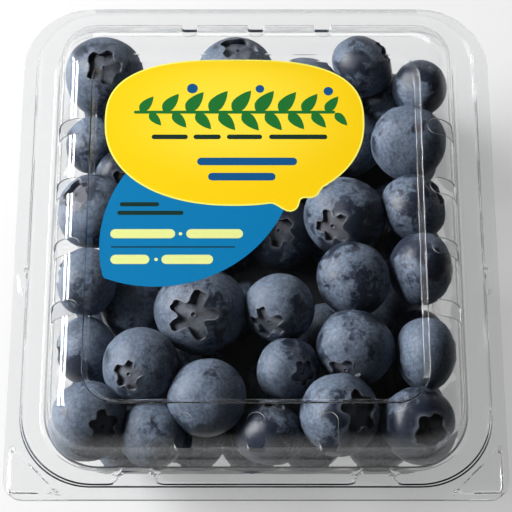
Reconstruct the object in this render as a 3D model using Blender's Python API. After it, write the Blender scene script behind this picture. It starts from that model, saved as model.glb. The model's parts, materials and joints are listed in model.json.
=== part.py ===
"""Clear hinged punnet of blueberries: tray, hinged lid, label and the heap of fruit.

Metres, +Z up. The origin is under the middle of the tray's foot. +Y is the hinge side, -Y the side
that opens. Tray and lid are two pressed halves of one folded sheet, which meet at the fold's height.
"""

import math
import random
from dataclasses import dataclass

import bmesh
import bpy
from mathutils import Vector

MM = 0.001

# Driving dimensions, in millimetres.
HALF_WIDTH = 55.0  # flange, along X
HALF_LENGTH = 61.0  # flange, along Y, out to the fold
FOLD_HEIGHT = 25.5  # the fold lies between the two flanges
LID_RISE = 13.5  # the lid's rim above the fold
SHEET = 0.5  # thickness of the plastic
GAP = 0.3  # air between two pieces that touch
FOLD_CLEARANCE = 0.15  # each flange stops this short of the fold
GROOVE_DEPTH = 0.8  # the lid's groove sits in the tray's
GROOVE_SHIFT = 0.6  # the lid's groove is narrower, so that their slopes stay apart
LID_WALL = (2.4, 7.0)  # the lid's wall leans in and rises by this
TRAY_WALL_LEAN = 4.3
TRAY_BEND_HEIGHT = 5.0
FOOT_WIDTH = 3.0
FLOOR_RISE = 1.2
RECESS_DEPTH = 1.7
RECESS_LEAN = 1.1
CORNER_STEPS = 6
BEND_STEPS = 4

# Plans of the level lines: half width, reach to the front, reach to the back, and the radius of
# the front and of the back corners.
FLANGE_CORNERS = (4.5, 16.0)
GROOVE_PLAN = (51.6, 57.3, 59.5, 16.0, 14.0)
LID_FOOT_PLAN = (47.8, 54.1, 54.2, 12.5, 10.0)
LID_RIM_PLAN = (38.9, 45.0, 44.2, 9.0, 7.5)
LID_RECESS_PLAN = (37.6, 43.0, 41.4, 7.6, 6.0)
TRAY_HEAD_PLAN = (46.8, 53.1, 53.2, 12.5, 10.0)
TRAY_FOOT_PLAN = (36.6, 42.6, 42.6, 7.0, 5.0)

# The two catches in the front of the groove: where they end, as parts of the straight front edge.
CATCH_STOPS = (0.497, 0.59, 0.884, 0.944)
CATCH_TOPS = (0.59, 0.884)

# Vents: slots with one flat and one round end, across the shoulder of the lid and the tray's bend.
VENT_WIDTH = 3.9
VENT_CORNER = 0.7
VENT_ROUND_STEPS = 6
LID_VENT_LENGTH = 5.6
LID_VENT_INSET = 10.2
LID_VENT_SPAN = (30.0, 41.0)  # heights between which the lid's vents are cut
TRAY_VENT_LENGTH = 4.6
TRAY_VENT_INSET = 13.0
TRAY_VENT_SPAN = (-1.0, 7.0)
END_VENTS_X = (-15.5, 0.0, 15.5)
SIDE_VENTS_Y = (-21.2, -6.4, 8.4, 23.2)

# Label: a yellow oval over a blue lobe, where two discs overlap.
OVAL_CENTRE = (-5.0, 21.9)
OVAL_SEMI_AXES = (29.6, 18.1)
LOBE_DISCS = (((-22.3, 15.4), 31.5), ((-4.0, -6.0), 30.6))
LABEL_HEART = (-15.0, 6.0)  # every edge point is in sight of this one
LABEL_THICKNESS = 0.4
LABEL_STEPS = 72

# Heap of fruit.
BERRY_RADIUS = 9.0
BERRY_LAYERS = (10.9, 19.2, 27.3)
BERRY_ROWS = (6, 5)  # rows along Y, berries along X
HEAP_FLOOR = 2.1
HEAP_TOP = 36.3
HEAP_CORNER = 13.0
HEAP_CELLS = (20, 24, 8)
HEAP_DENT = 5.0  # deepest hollow between berries
DENT_STEP = 0.25
BERRY_DROP = 2.4  # berries of one layer lie up to this much lower
BERRY_SWAY = 1.2
HEAP_SEED = 7
# How far the heap stays inside the flange's edge, at each height.
HEAP_ROOM = ((2.1, 20.5), (6.5, 13.8), (24.0, 9.6), (31.0, 11.0), (36.3, 13.8))


@dataclass(frozen=True)
class Ring:
    """One level line of a pressed sheet: a rectangle with round corners, in millimetres."""

    side: float
    front: float
    back: float
    front_radius: float
    back_radius: float
    height: float

    def inset(self, by, rise=0.0):
        """The parallel line further in, and higher by rise."""
        return Ring(
            self.side - by,
            self.front - by,
            self.back - by,
            self.front_radius - by,
            self.back_radius - by,
            self.height + rise,
        )

    def towards(self, other, across, up):
        """A line part of the way to another: across in plan, up in height."""
        mine = (self.side, self.front, self.back, self.front_radius, self.back_radius)
        theirs = (other.side, other.front, other.back, other.front_radius, other.back_radius)
        plan = [a + (b - a) * across for a, b in zip(mine, theirs)]
        return Ring(*plan, self.height + (other.height - self.height) * up)

    def points(self, catch_rise=0.0):
        """Points along the line, anticlockwise from the front's left end."""
        straight = self.side - self.front_radius
        stops = [-part for part in reversed(CATCH_STOPS)] + list(CATCH_STOPS)
        points = []
        for part in stops:
            raised = CATCH_TOPS[0] <= abs(part) <= CATCH_TOPS[1]
            height = self.height + (catch_rise if raised else 0.0)
            points.append(Vector((part * straight, -self.front, height)))
        corners = (
            (1, -1, self.front, self.front_radius, -90.0),
            (1, 1, self.back, self.back_radius, 0.0),
            (-1, 1, self.back, self.back_radius, 90.0),
            (-1, -1, self.front, self.front_radius, 180.0),
        )
        for x_sign, y_sign, reach, radius, start in corners:
            for step in range(CORNER_STEPS + 1):
                angle = math.radians(start + 90.0 * step / CORNER_STEPS)
                x = x_sign * (self.side - radius) + radius * math.cos(angle)
                y = y_sign * (reach - radius) + radius * math.sin(angle)
                points.append(Vector((x, y, self.height)))
        return points


def rounded_bend(start, end):
    """Lines of a quarter-ellipse bend from an upright line to a level one, without its two ends."""
    rings = []
    for step in range(1, BEND_STEPS):
        angle = math.radians(90.0 * step / BEND_STEPS)
        rings.append(start.towards(end, 1.0 - math.cos(angle), math.sin(angle)))
    return rings


def flange_rings(height, groove_inset):
    """The lines both halves have: the flange's edge and the two edges of the groove's slope."""
    reach = HALF_LENGTH - FOLD_CLEARANCE
    edge = Ring(HALF_WIDTH, reach, reach, *FLANGE_CORNERS, height)
    slope_top = Ring(*GROOVE_PLAN, height).inset(groove_inset)
    return [edge, slope_top, slope_top.inset(GROOVE_DEPTH, -GROOVE_DEPTH)]


def lid_rings():
    """Lines of the lid's upper face, from the flange's edge to the sunk panel."""
    rings = flange_rings(FOLD_HEIGHT + GAP / 2 + SHEET, GROOVE_SHIFT / 2)
    wall_foot = Ring(*LID_FOOT_PLAN, rings[-1].height)
    wall_top = wall_foot.inset(*LID_WALL)
    rim_edge = Ring(*LID_RIM_PLAN, FOLD_HEIGHT + LID_RISE)
    recess_edge = Ring(*LID_RECESS_PLAN, rim_edge.height)
    rings += [wall_foot, wall_top]
    rings += rounded_bend(wall_top, rim_edge)
    rings += [rim_edge, recess_edge, recess_edge.inset(RECESS_LEAN, -RECESS_DEPTH)]
    return rings


def tray_rings():
    """Lines of the tray's lower face, from the flange's edge down to the raised floor."""
    rings = flange_rings(FOLD_HEIGHT - GAP / 2 - SHEET, -GROOVE_SHIFT / 2)
    wall_head = Ring(*TRAY_HEAD_PLAN, rings[-1].height)
    wall_foot = wall_head.inset(TRAY_WALL_LEAN, TRAY_BEND_HEIGHT - wall_head.height)
    foot_edge = Ring(*TRAY_FOOT_PLAN, 0.0)
    foot_inside = foot_edge.inset(FOOT_WIDTH)
    rings += [wall_head, wall_foot]
    rings += rounded_bend(wall_foot, foot_edge)
    rings += [foot_edge, foot_inside, foot_inside.inset(FLOOR_RISE, FLOOR_RISE)]
    return rings


def make_material(name, colour, roughness, transmission=0.0):
    """A Principled finish."""
    material = bpy.data.materials.new(name)
    material.use_nodes = True
    shader = material.node_tree.nodes["Principled BSDF"]
    shader.inputs["Base Color"].default_value = (*colour, 1.0)
    shader.inputs["Roughness"].default_value = roughness
    shader.inputs["Metallic"].default_value = 0.0
    shader.inputs["Transmission Weight"].default_value = transmission
    return material


def add_object(name, form, material, smooth_angle=30.0):
    """Turn a bmesh in millimetres into a scene object in metres."""
    bmesh.ops.scale(form, vec=(MM, MM, MM), verts=form.verts)
    mesh = bpy.data.meshes.new(name)
    form.to_mesh(mesh)
    form.free()
    mesh.shade_smooth()
    mesh.set_sharp_from_angle(angle=math.radians(smooth_angle))
    if material is not None:
        mesh.materials.append(material)
    thing = bpy.data.objects.new(name, mesh)
    bpy.context.scene.collection.objects.link(thing)
    return thing


def loft(rings, face_up):
    """Skin through a row of lines, closed by a flat panel at the last one."""
    form = bmesh.new()
    loops = []
    groove_lines = (2, 3)
    for index, ring in enumerate(rings):
        rise = GROOVE_DEPTH if index in groove_lines else 0.0
        loops.append([form.verts.new(point) for point in ring.points(rise)])
    for outer, inner in zip(loops, loops[1:]):
        for here in range(len(outer)):
            after = (here + 1) % len(outer)
            form.faces.new((outer[here], outer[after], inner[after], inner[here]))
    form.faces.new(loops[-1])
    form.normal_update()
    if not face_up:
        bmesh.ops.reverse_faces(form, faces=form.faces)
    return form


def vent_outline():
    """A slot from a flat end at zero to a round end along +Y, before its length is added."""
    half = VENT_WIDTH / 2
    shoulder = half - VENT_CORNER
    flat_end = [(-half, VENT_CORNER), (-shoulder, 0.0), (shoulder, 0.0), (half, VENT_CORNER)]
    round_end = []
    for step in range(VENT_ROUND_STEPS + 1):
        angle = math.pi * step / VENT_ROUND_STEPS
        round_end.append((half * math.cos(angle), half * math.sin(angle)))
    return flat_end, round_end


def vent_cutter(name, inset, length, span):
    """All the vents of one half, as upright prisms in one cutter that spans two heights."""
    form = bmesh.new()
    low, high = span
    flat_end, round_end = vent_outline()
    straight = length - VENT_WIDTH / 2
    outline = flat_end + [(x, y + straight) for x, y in round_end]
    front = HALF_LENGTH - inset
    side = HALF_WIDTH - inset
    places = [(x, -front, 0.0) for x in END_VENTS_X]
    places += [(x, front, 180.0) for x in END_VENTS_X]
    places += [(side, y, 90.0) for y in SIDE_VENTS_Y]
    places += [(-side, y, -90.0) for y in SIDE_VENTS_Y]
    for x, y, turn in places:
        cosine, sine = math.cos(math.radians(turn)), math.sin(math.radians(turn))
        corners = []
        for across, along in outline:
            point = (x + across * cosine - along * sine, y + across * sine + along * cosine, low)
            corners.append(form.verts.new(point))
        base = form.faces.new(corners)
        lifted = bmesh.ops.extrude_face_region(form, geom=[base])["geom"]
        top = [item for item in lifted if isinstance(item, bmesh.types.BMVert)]
        bmesh.ops.translate(form, vec=(0, 0, high - low), verts=top)
    bmesh.ops.recalc_face_normals(form, faces=form.faces)
    cutter = add_object(name, form, None)
    cutter.hide_render = True
    cutter.display_type = "WIRE"
    return cutter


def press_sheet(name, rings, face_up, cutter, material):
    """One half of the punnet: a pressed skin given its thickness, then cut for the vents."""
    half = add_object(name, loft(rings, face_up), material)
    thickness = half.modifiers.new("sheet", "SOLIDIFY")
    thickness.thickness = SHEET * MM
    thickness.offset = -1.0
    thickness.use_even_offset = True
    vents = half.modifiers.new("vents", "BOOLEAN")
    vents.operation = "DIFFERENCE"
    vents.solver = "EXACT"
    vents.object = cutter
    return half


def reach_of_oval(direction):
    """Distance from the label's heart to the oval's edge."""
    offset = [heart - centre for heart, centre in zip(LABEL_HEART, OVAL_CENTRE)]
    start = [part / semi for part, semi in zip(offset, OVAL_SEMI_AXES)]
    way = [part / semi for part, semi in zip(direction, OVAL_SEMI_AXES)]
    a = way[0] ** 2 + way[1] ** 2
    b = start[0] * way[0] + start[1] * way[1]
    c = start[0] ** 2 + start[1] ** 2 - 1.0
    under = b * b - a * c
    return (-b + math.sqrt(under)) / a if under > 0 else 0.0


def reach_of_disc(direction, centre, radius):
    """Distance from the label's heart to a disc's edge."""
    start = (LABEL_HEART[0] - centre[0], LABEL_HEART[1] - centre[1])
    b = start[0] * direction[0] + start[1] * direction[1]
    c = start[0] ** 2 + start[1] ** 2 - radius**2
    return -b + math.sqrt(b * b - c)


def make_label(material):
    """The printed label, a thin piece of its own just above the lid's sunk panel."""
    form = bmesh.new()
    low = FOLD_HEIGHT + LID_RISE - RECESS_DEPTH + GAP
    corners = []
    for step in range(LABEL_STEPS):
        angle = 2 * math.pi * step / LABEL_STEPS
        direction = (math.cos(angle), math.sin(angle))
        lobe = min(reach_of_disc(direction, *disc) for disc in LOBE_DISCS)
        reach = max(reach_of_oval(direction), lobe)
        point = (LABEL_HEART[0] + reach * direction[0], LABEL_HEART[1] + reach * direction[1], low)
        corners.append(form.verts.new(point))
    base = form.faces.new(corners)
    lifted = bmesh.ops.extrude_face_region(form, geom=[base])["geom"]
    top = [item for item in lifted if isinstance(item, bmesh.types.BMVert)]
    bmesh.ops.translate(form, vec=(0, 0, LABEL_THICKNESS), verts=top)
    bmesh.ops.recalc_face_normals(form, faces=form.faces)
    return add_object("label", form, material)


def heap_room(height):
    """How far the heap stays inside the flange's edge at a height."""
    for (low, low_room), (high, high_room) in zip(HEAP_ROOM, HEAP_ROOM[1:]):
        if height <= high:
            part = (height - low) / (high - low)
            return low_room + (high_room - low_room) * part
    return HEAP_ROOM[-1][1]


def rounded_plan(x, y, half_x, half_y):
    """Pull a point of a rectangle in so that the rectangle's corners are round."""
    over_x, over_y = abs(x) - (half_x - HEAP_CORNER), abs(y) - (half_y - HEAP_CORNER)
    if over_x <= 0 or over_y <= 0:
        return x, y
    pull = max(over_x, over_y) / math.hypot(over_x, over_y)
    new_x = math.copysign(half_x - HEAP_CORNER + over_x * pull, x)
    new_y = math.copysign(half_y - HEAP_CORNER + over_y * pull, y)
    return new_x, new_y


def berry_centres():
    """Middles of the berries that make the heap's lumps, in staggered rows and layers."""
    chance = random.Random(HEAP_SEED)
    centres = []
    rows, columns = BERRY_ROWS
    for layer, height in enumerate(BERRY_LAYERS):
        room = heap_room(height) + BERRY_RADIUS
        half_x, half_y = HALF_WIDTH - room, HALF_LENGTH - room
        for row in range(rows):
            y = -half_y + 2 * half_y * row / (rows - 1)
            shift = 0.5 if (row + layer) % 2 else 0.0
            for column in range(columns - (1 if shift else 0)):
                x = -half_x + 2 * half_x * (column + shift) / (columns - 1)
                drop = chance.uniform(0.0, BERRY_DROP)
                sway = chance.uniform(-BERRY_SWAY, BERRY_SWAY)
                plan = rounded_plan(x + sway, y, half_x, half_y)
                centres.append(Vector((*plan, height - drop)))
    return centres


def make_heap(material):
    """The fruit as one lumpy solid: a block with a berry's swell wherever one lies at its face."""
    form = bmesh.new()
    bmesh.ops.create_cube(form, size=2.0)
    for axis, cells in enumerate(HEAP_CELLS):
        along = []
        for edge in form.edges:
            run = edge.verts[1].co - edge.verts[0].co
            if abs(run[axis]) > 0.99 * run.length:
                along.append(edge)
        bmesh.ops.subdivide_edges(form, edges=along, cuts=cells - 1, use_grid_fill=True)
    for vertex in form.verts:
        height = HEAP_FLOOR + (HEAP_TOP - HEAP_FLOOR) * (vertex.co.z + 1.0) / 2.0
        room = heap_room(height)
        half_x, half_y = HALF_WIDTH - room, HALF_LENGTH - room
        plan = rounded_plan(vertex.co.x * half_x, vertex.co.y * half_y, half_x, half_y)
        vertex.co = (*plan, height)
    bmesh.ops.recalc_face_normals(form, faces=form.faces)
    form.normal_update()
    centres = berry_centres()
    moves = []
    for vertex in form.verts:
        depth = 0.0
        near = [c for c in centres if (c - vertex.co).length < BERRY_RADIUS + HEAP_DENT]
        while depth < HEAP_DENT:
            point = vertex.co - vertex.normal * depth
            if any((point - centre).length <= BERRY_RADIUS for centre in near):
                break
            depth += DENT_STEP
        moves.append(vertex.normal * depth)
    for vertex, move in zip(form.verts, moves):
        if vertex.co.z > HEAP_FLOOR + 0.1:
            vertex.co -= move
    return add_object("berries", form, material, smooth_angle=60.0)


def clear_scene():
    """Remove whatever the scene holds."""
    for thing in list(bpy.data.objects):
        bpy.data.objects.remove(thing, do_unlink=True)


def main():
    """Build the four pieces and hang the lid and its label on the fold."""
    clear_scene()
    clear_plastic = (0.93, 0.95, 0.95)
    tray_material = make_material("tray_sheet", clear_plastic, 0.08, transmission=0.9)
    lid_material = make_material("lid_sheet", clear_plastic, 0.08, transmission=0.9)
    label_material = make_material("label_print", (0.98, 0.74, 0.03), 0.4)
    berry_material = make_material("berry_skin", (0.07, 0.10, 0.17), 0.6)

    lid_vents = vent_cutter("lid_vent_cutter", LID_VENT_INSET, LID_VENT_LENGTH, LID_VENT_SPAN)
    tray_vents = vent_cutter("tray_vent_cutter", TRAY_VENT_INSET, TRAY_VENT_LENGTH, TRAY_VENT_SPAN)
    press_sheet("tray", tray_rings(), False, tray_vents, tray_material)
    lid = press_sheet("lid", lid_rings(), True, lid_vents, lid_material)
    label = make_label(label_material)
    make_heap(berry_material)

    fold = bpy.data.objects.new("fold", None)
    fold.location = (0.0, HALF_LENGTH * MM, FOLD_HEIGHT * MM)
    bpy.context.scene.collection.objects.link(fold)
    for piece in (lid, label, lid_vents):
        piece.parent = fold
        piece.location = -fold.location


main()
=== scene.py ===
"""Clear hinged punnet of blueberries: pressed tray and lid, fold, printed label and loose fruit.

Shapes are worked out in millimetres in the frame's own axes and turned into metres once a piece is
done. +Y is the hinge side, -Y the side that opens, and +Z is up.
"""

import json
import logging
import math
import random
from dataclasses import dataclass, field
from enum import Enum
from typing import Optional, Sequence, Union

import bmesh
import bpy
import numpy as np
from mathutils import Matrix, Vector, noise

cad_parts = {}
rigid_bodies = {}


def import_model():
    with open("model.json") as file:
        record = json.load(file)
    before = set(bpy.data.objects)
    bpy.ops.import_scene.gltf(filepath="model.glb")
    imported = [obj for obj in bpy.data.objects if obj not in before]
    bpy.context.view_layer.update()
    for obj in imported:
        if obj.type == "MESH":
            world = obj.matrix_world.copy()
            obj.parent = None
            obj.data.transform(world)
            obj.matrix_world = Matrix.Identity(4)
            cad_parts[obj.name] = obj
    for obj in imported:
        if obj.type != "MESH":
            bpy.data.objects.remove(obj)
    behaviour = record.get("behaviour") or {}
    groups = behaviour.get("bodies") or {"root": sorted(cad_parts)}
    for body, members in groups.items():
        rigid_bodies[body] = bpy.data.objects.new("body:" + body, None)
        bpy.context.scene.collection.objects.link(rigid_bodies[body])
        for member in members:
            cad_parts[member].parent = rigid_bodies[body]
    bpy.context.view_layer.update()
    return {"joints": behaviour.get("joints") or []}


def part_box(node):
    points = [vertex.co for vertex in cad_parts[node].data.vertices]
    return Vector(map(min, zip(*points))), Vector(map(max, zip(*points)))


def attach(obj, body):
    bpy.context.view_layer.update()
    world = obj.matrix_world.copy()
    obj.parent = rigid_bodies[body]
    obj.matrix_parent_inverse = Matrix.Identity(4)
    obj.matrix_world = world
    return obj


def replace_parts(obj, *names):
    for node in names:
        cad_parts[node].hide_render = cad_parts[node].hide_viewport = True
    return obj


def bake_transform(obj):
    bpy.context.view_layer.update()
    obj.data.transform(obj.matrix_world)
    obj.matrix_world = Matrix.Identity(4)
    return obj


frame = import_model()

MM = 0.001
LOG = logging.getLogger("punnet")

Socket = Union[bpy.types.NodeSocket, float, Sequence[float]]


# ---------------------------------------------------------------------------------------------
# Bench: small helpers for modelling by operators
# ---------------------------------------------------------------------------------------------


class Mode(Enum):
    """The parts of a mesh that edit mode selects."""

    POINT = (True, False, False)
    EDGE = (False, True, False)
    FACE = (False, False, True)


def clear_selection() -> None:
    """Deselect every object, the frame's own nodes among them."""
    for thing in bpy.data.objects:
        thing.select_set(False)


def pick(thing: bpy.types.Object) -> None:
    """Make one object the only selected and the active one."""
    clear_selection()
    thing.select_set(True)
    bpy.context.view_layer.objects.active = thing


def edit(thing: bpy.types.Object, mode: Mode) -> bmesh.types.BMesh:
    """Enter edit mode with nothing selected.

    Args:
        thing: The object to edit.
        mode: What the operators that follow select.

    Returns:
        The edit mesh.
    """
    pick(thing)
    bpy.ops.object.mode_set(mode="EDIT")
    bpy.context.tool_settings.mesh_select_mode = mode.value
    bpy.ops.mesh.select_all(action="DESELECT")
    return bmesh.from_edit_mesh(thing.data)


def leave_edit() -> None:
    """Go back to object mode."""
    bpy.ops.object.mode_set(mode="OBJECT")


def name_piece(thing: bpy.types.Object, name: str) -> bpy.types.Object:
    """Give an object and its mesh the piece's name."""
    thing.name = name
    thing.data.name = name
    return thing


def apply_modifiers(thing: bpy.types.Object) -> None:
    """Apply all the modifiers of an object, in their order."""
    pick(thing)
    for modifier in list(thing.modifiers):
        bpy.ops.object.modifier_apply(modifier=modifier.name)


def join(pieces: Sequence[bpy.types.Object]) -> bpy.types.Object:
    """Join meshes into the first of them.

    Args:
        pieces: The mesh objects, the one that stays first.

    Returns:
        The joined object.
    """
    clear_selection()
    for piece in pieces:
        piece.select_set(True)
    bpy.context.view_layer.objects.active = pieces[0]
    bpy.ops.object.join()
    return pieces[0]


def drop_place(thing: bpy.types.Object) -> None:
    """Put an object's place, turn and scale into its mesh."""
    pick(thing)
    bpy.ops.object.transform_apply(location=True, rotation=True, scale=True)


def settle(thing: bpy.types.Object, body: str, smooth_angle: float = 35.0) -> None:
    """Finish a piece: shade it, turn millimetres into metres and hang it on its body.

    Args:
        thing: The piece, modelled in millimetres.
        body: The body that it moves with.
        smooth_angle: Edges sharper than this many degrees stay sharp.
    """
    drop_place(thing)
    bpy.ops.object.shade_smooth_by_angle(angle=math.radians(smooth_angle))
    thing.data.transform(Matrix.Scale(MM, 4))
    thing.data.update()
    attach(thing, body)
    LOG.info("%s: %d faces, on %s", thing.name, len(thing.data.polygons), body)


# ---------------------------------------------------------------------------------------------
# Finishes
# ---------------------------------------------------------------------------------------------


class Board:
    """Adds and links the shader nodes of one material or group."""

    def __init__(self, tree: bpy.types.NodeTree) -> None:
        """Start on an empty tree."""
        self.tree = tree
        self.tree.nodes.clear()

    def node(self, kind: str, settings: Optional[dict] = None, **inputs: Socket) -> bpy.types.Node:
        """Add a node.

        Args:
            kind: The node's type.
            settings: Its properties, such as a math operation.
            inputs: Values or sockets for its inputs; spaces in names are written as underscores,
                and in_0, in_1 and so on go by place.

        Returns:
            The new node.
        """
        made = self.tree.nodes.new(kind)
        for name, value in (settings or {}).items():
            setattr(made, name, value)
        for name, value in inputs.items():
            key = int(name[3:]) if name.startswith("in_") else name.replace("_", " ")
            socket = made.inputs[key]
            if isinstance(value, bpy.types.NodeSocket):
                self.tree.links.new(value, socket)
            else:
                socket.default_value = value
        return made

    def math(self, operation: str, *values: Socket, clamp: bool = False) -> bpy.types.NodeSocket:
        """Add a math node and return its result."""
        inputs = {f"in_{place}": value for place, value in enumerate(values)}
        made = self.node("ShaderNodeMath", {"operation": operation, "use_clamp": clamp}, **inputs)
        return made.outputs[0]

    def mix(self, share: Socket, first: Socket, second: Socket) -> bpy.types.NodeSocket:
        """Mix two colours and return the result."""
        made = self.node(
            "ShaderNodeMix", {"data_type": "RGBA"}, in_0=share, in_6=first, in_7=second
        )
        return made.outputs[2]

    def span(self, value: Socket, low: float, high: float, to_low: float = 0.0, to_high: float = 1.0):
        """Map a value's range to another, smoothly and clamped, and return the result."""
        made = self.node(
            "ShaderNodeMapRange",
            {"interpolation_type": "SMOOTHSTEP"},
            Value=value,
            From_Min=low,
            From_Max=high,
            To_Min=to_low,
            To_Max=to_high,
        )
        return made.outputs[0]

    def attribute(self, name: str) -> bpy.types.NodeSocket:
        """Read a number that the mesh holds at each point."""
        return self.node("ShaderNodeAttribute", {"attribute_name": name}).outputs["Fac"]


def new_group(name: str, takes: dict, gives: dict) -> tuple[bpy.types.NodeTree, Board, dict, bpy.types.Node]:
    """Make an empty shader node group.

    Args:
        name: The group's name.
        takes: Input names with their types and starting values.
        gives: Output names with their types.

    Returns:
        The group, its board, its input sockets by name and its output node.
    """
    tree = bpy.data.node_groups.new(name, "ShaderNodeTree")
    board = Board(tree)
    for label, (kind, value) in takes.items():
        socket = tree.interface.new_socket(name=label, in_out="INPUT", socket_type=kind)
        if value is not None:
            socket.default_value = value
    for label, kind in gives.items():
        tree.interface.new_socket(name=label, in_out="OUTPUT", socket_type=kind)
    entry = tree.nodes.new("NodeGroupInput")
    leave = tree.nodes.new("NodeGroupOutput")
    return tree, board, {label: entry.outputs[label] for label in takes}, leave


@dataclass(frozen=True)
class Effects:
    """The node groups that several finishes share."""

    grain: bpy.types.NodeTree
    dust: bpy.types.NodeTree

    @classmethod
    def build(cls) -> "Effects":
        """Make the groups once."""
        return cls(grain=cls.make_grain(), dust=cls.make_dust())

    @staticmethod
    def make_grain() -> bpy.types.NodeTree:
        """Fine even grain, as a height and as a mask."""
        tree, board, takes, leave = new_group(
            "fine_grain",
            {"Vector": ("NodeSocketVector", None), "Scale": ("NodeSocketFloat", 900.0)},
            {"Height": "NodeSocketFloat", "Mask": "NodeSocketFloat"},
        )
        speckle = board.node(
            "ShaderNodeTexNoise", Vector=takes["Vector"], Scale=takes["Scale"], Detail=4.0, Roughness=0.65
        ).outputs["Fac"]
        tree.links.new(speckle, leave.inputs["Height"])
        tree.links.new(board.span(speckle, 0.35, 0.7), leave.inputs["Mask"])
        return tree

    @staticmethod
    def make_dust() -> bpy.types.NodeTree:
        """Waxy bloom: broad clouds broken by rubbed patches, thin scratches and small spots."""
        tree, board, takes, leave = new_group(
            "waxy_dust",
            {
                "Vector": ("NodeSocketVector", None),
                "Seed": ("NodeSocketFloat", 0.0),
                "Amount": ("NodeSocketFloat", 0.6),
            },
            {"Mask": "NodeSocketFloat", "Height": "NodeSocketFloat"},
        )
        place, seed, amount = takes["Vector"], takes["Seed"], takes["Amount"]
        four = {"noise_dimensions": "4D"}
        clouds = board.node(
            "ShaderNodeTexNoise", four, Vector=place, W=seed, Scale=95.0, Detail=2.5, Roughness=0.55
        ).outputs["Fac"]
        rubbed = board.node(
            "ShaderNodeTexNoise",
            four,
            Vector=place,
            W=board.math("ADD", seed, 9.0),
            Scale=480.0,
            Detail=8.0,
            Roughness=0.7,
            Distortion=0.8,
        ).outputs["Fac"]
        specks = board.node(
            "ShaderNodeTexNoise", four, Vector=place, W=seed, Scale=1300.0, Detail=5.0, Roughness=0.75
        ).outputs["Fac"]
        spots = board.node(
            "ShaderNodeTexVoronoi", {"voronoi_dimensions": "4D"}, Vector=place, W=seed, Scale=560.0
        ).outputs["Distance"]
        worn = board.math("ADD", board.math("MULTIPLY", clouds, 0.62), board.math("MULTIPLY", rubbed, 0.38))
        lean = board.math("SUBTRACT", worn, board.math("MULTIPLY_ADD", amount, -0.17, 0.58))
        patch = board.span(lean, -0.035, 0.03, 0.12, 1.0)
        sparse = board.math("ADD", spots, board.span(clouds, 0.38, 0.6, 0.0, 0.25))
        spotted = board.span(sparse, 0.14, 0.3, 0.25, 1.0)
        scratch = board.math("ABSOLUTE", board.math("SUBTRACT", rubbed, 0.55))
        scratched = board.span(scratch, 0.0, 0.01, 0.45, 1.0)
        thick = board.math(
            "MULTIPLY", board.span(rubbed, 0.34, 0.6, 0.62, 1.0), board.span(specks, 0.4, 0.58, 0.5, 1.0)
        )
        marked = board.math("MULTIPLY", spotted, scratched)
        full = board.math("MULTIPLY", board.math("MULTIPLY", patch, thick), marked)
        thin = board.math("MULTIPLY", board.math("MULTIPLY", amount, 0.2), thick)
        tree.links.new(board.math("MAXIMUM", full, thin), leave.inputs["Mask"])
        height = board.math("ADD", board.math("MULTIPLY", rubbed, 0.7), board.math("MULTIPLY", specks, 0.3))
        tree.links.new(height, leave.inputs["Height"])
        return tree


def new_material(name: str) -> tuple[bpy.types.Material, Board, bpy.types.Node]:
    """Make a material with an empty tree and an output.

    Args:
        name: The material's name.

    Returns:
        The material, its board and its output node.
    """
    material = bpy.data.materials.new(name)
    material.use_nodes = True
    board = Board(material.node_tree)
    return material, board, board.node("ShaderNodeOutputMaterial")


def grain_on(board: Board, effects: Effects, scale: float, height: float) -> bpy.types.NodeSocket:
    """Lay the fine grain over a surface as a bump and return its normal."""
    place = board.node("ShaderNodeTexCoord").outputs["Object"]
    grain = board.node("ShaderNodeGroup", {"node_tree": effects.grain}, Vector=place, Scale=scale)
    bump = board.node("ShaderNodeBump", Strength=0.5, Distance=height, Height=grain.outputs["Height"])
    return bump.outputs["Normal"]


@dataclass(frozen=True)
class ClearSheet:
    """Pressed clear plastic, slightly wavy, that lets lamps through."""

    name: str
    tint: tuple[float, float, float] = (0.985, 0.99, 0.992)
    roughness: float = 0.035
    bend: float = 1.42
    wave: float = 0.00006
    wave_scale: float = 70.0
    passes: tuple[float, float, float] = (0.97, 0.972, 0.975)

    def build(self) -> bpy.types.Material:
        """Make the material."""
        material, board, output = new_material(self.name)
        place = board.node("ShaderNodeTexCoord").outputs["Object"]
        wave = board.node(
            "ShaderNodeTexNoise", Vector=place, Scale=self.wave_scale, Detail=1.5, Roughness=0.4
        )
        bump = board.node("ShaderNodeBump", Strength=1.0, Distance=self.wave, Height=wave.outputs["Fac"])
        sheet = board.node(
            "ShaderNodeBsdfPrincipled",
            Base_Color=(*self.tint, 1.0),
            Roughness=self.roughness,
            IOR=self.bend,
            Transmission_Weight=1.0,
            Normal=bump.outputs["Normal"],
        )
        clear = board.node("ShaderNodeBsdfTransparent", Color=(*self.passes, 1.0))
        lamp = board.node("ShaderNodeLightPath").outputs["Is Shadow Ray"]
        both = board.node(
            "ShaderNodeMixShader", in_0=lamp, in_1=sheet.outputs["BSDF"], in_2=clear.outputs["BSDF"]
        )
        board.tree.links.new(both.outputs[0], output.inputs["Surface"])
        return material


@dataclass(frozen=True)
class GlintCutEdge:
    """The sheet's punched edge, opaque pale grey: a painted highlight for the key light caught along the
    clear sheet's cut edges.
    """

    name: str
    # painted highlight: this pale grey stands in for the lamp light that the clear cut edges catch
    colour: tuple[float, float, float] = (0.82, 0.82, 0.82)

    def build(self, effects: Effects) -> bpy.types.Material:
        """Make the material."""
        material, board, output = new_material(self.name)
        edge = board.node(
            "ShaderNodeBsdfPrincipled",
            Base_Color=(*self.colour, 1.0),
            Roughness=0.25,
            Normal=grain_on(board, effects, 1500.0, 0.00001),
        )
        board.tree.links.new(edge.outputs["BSDF"], output.inputs["Surface"])
        return material


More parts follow.
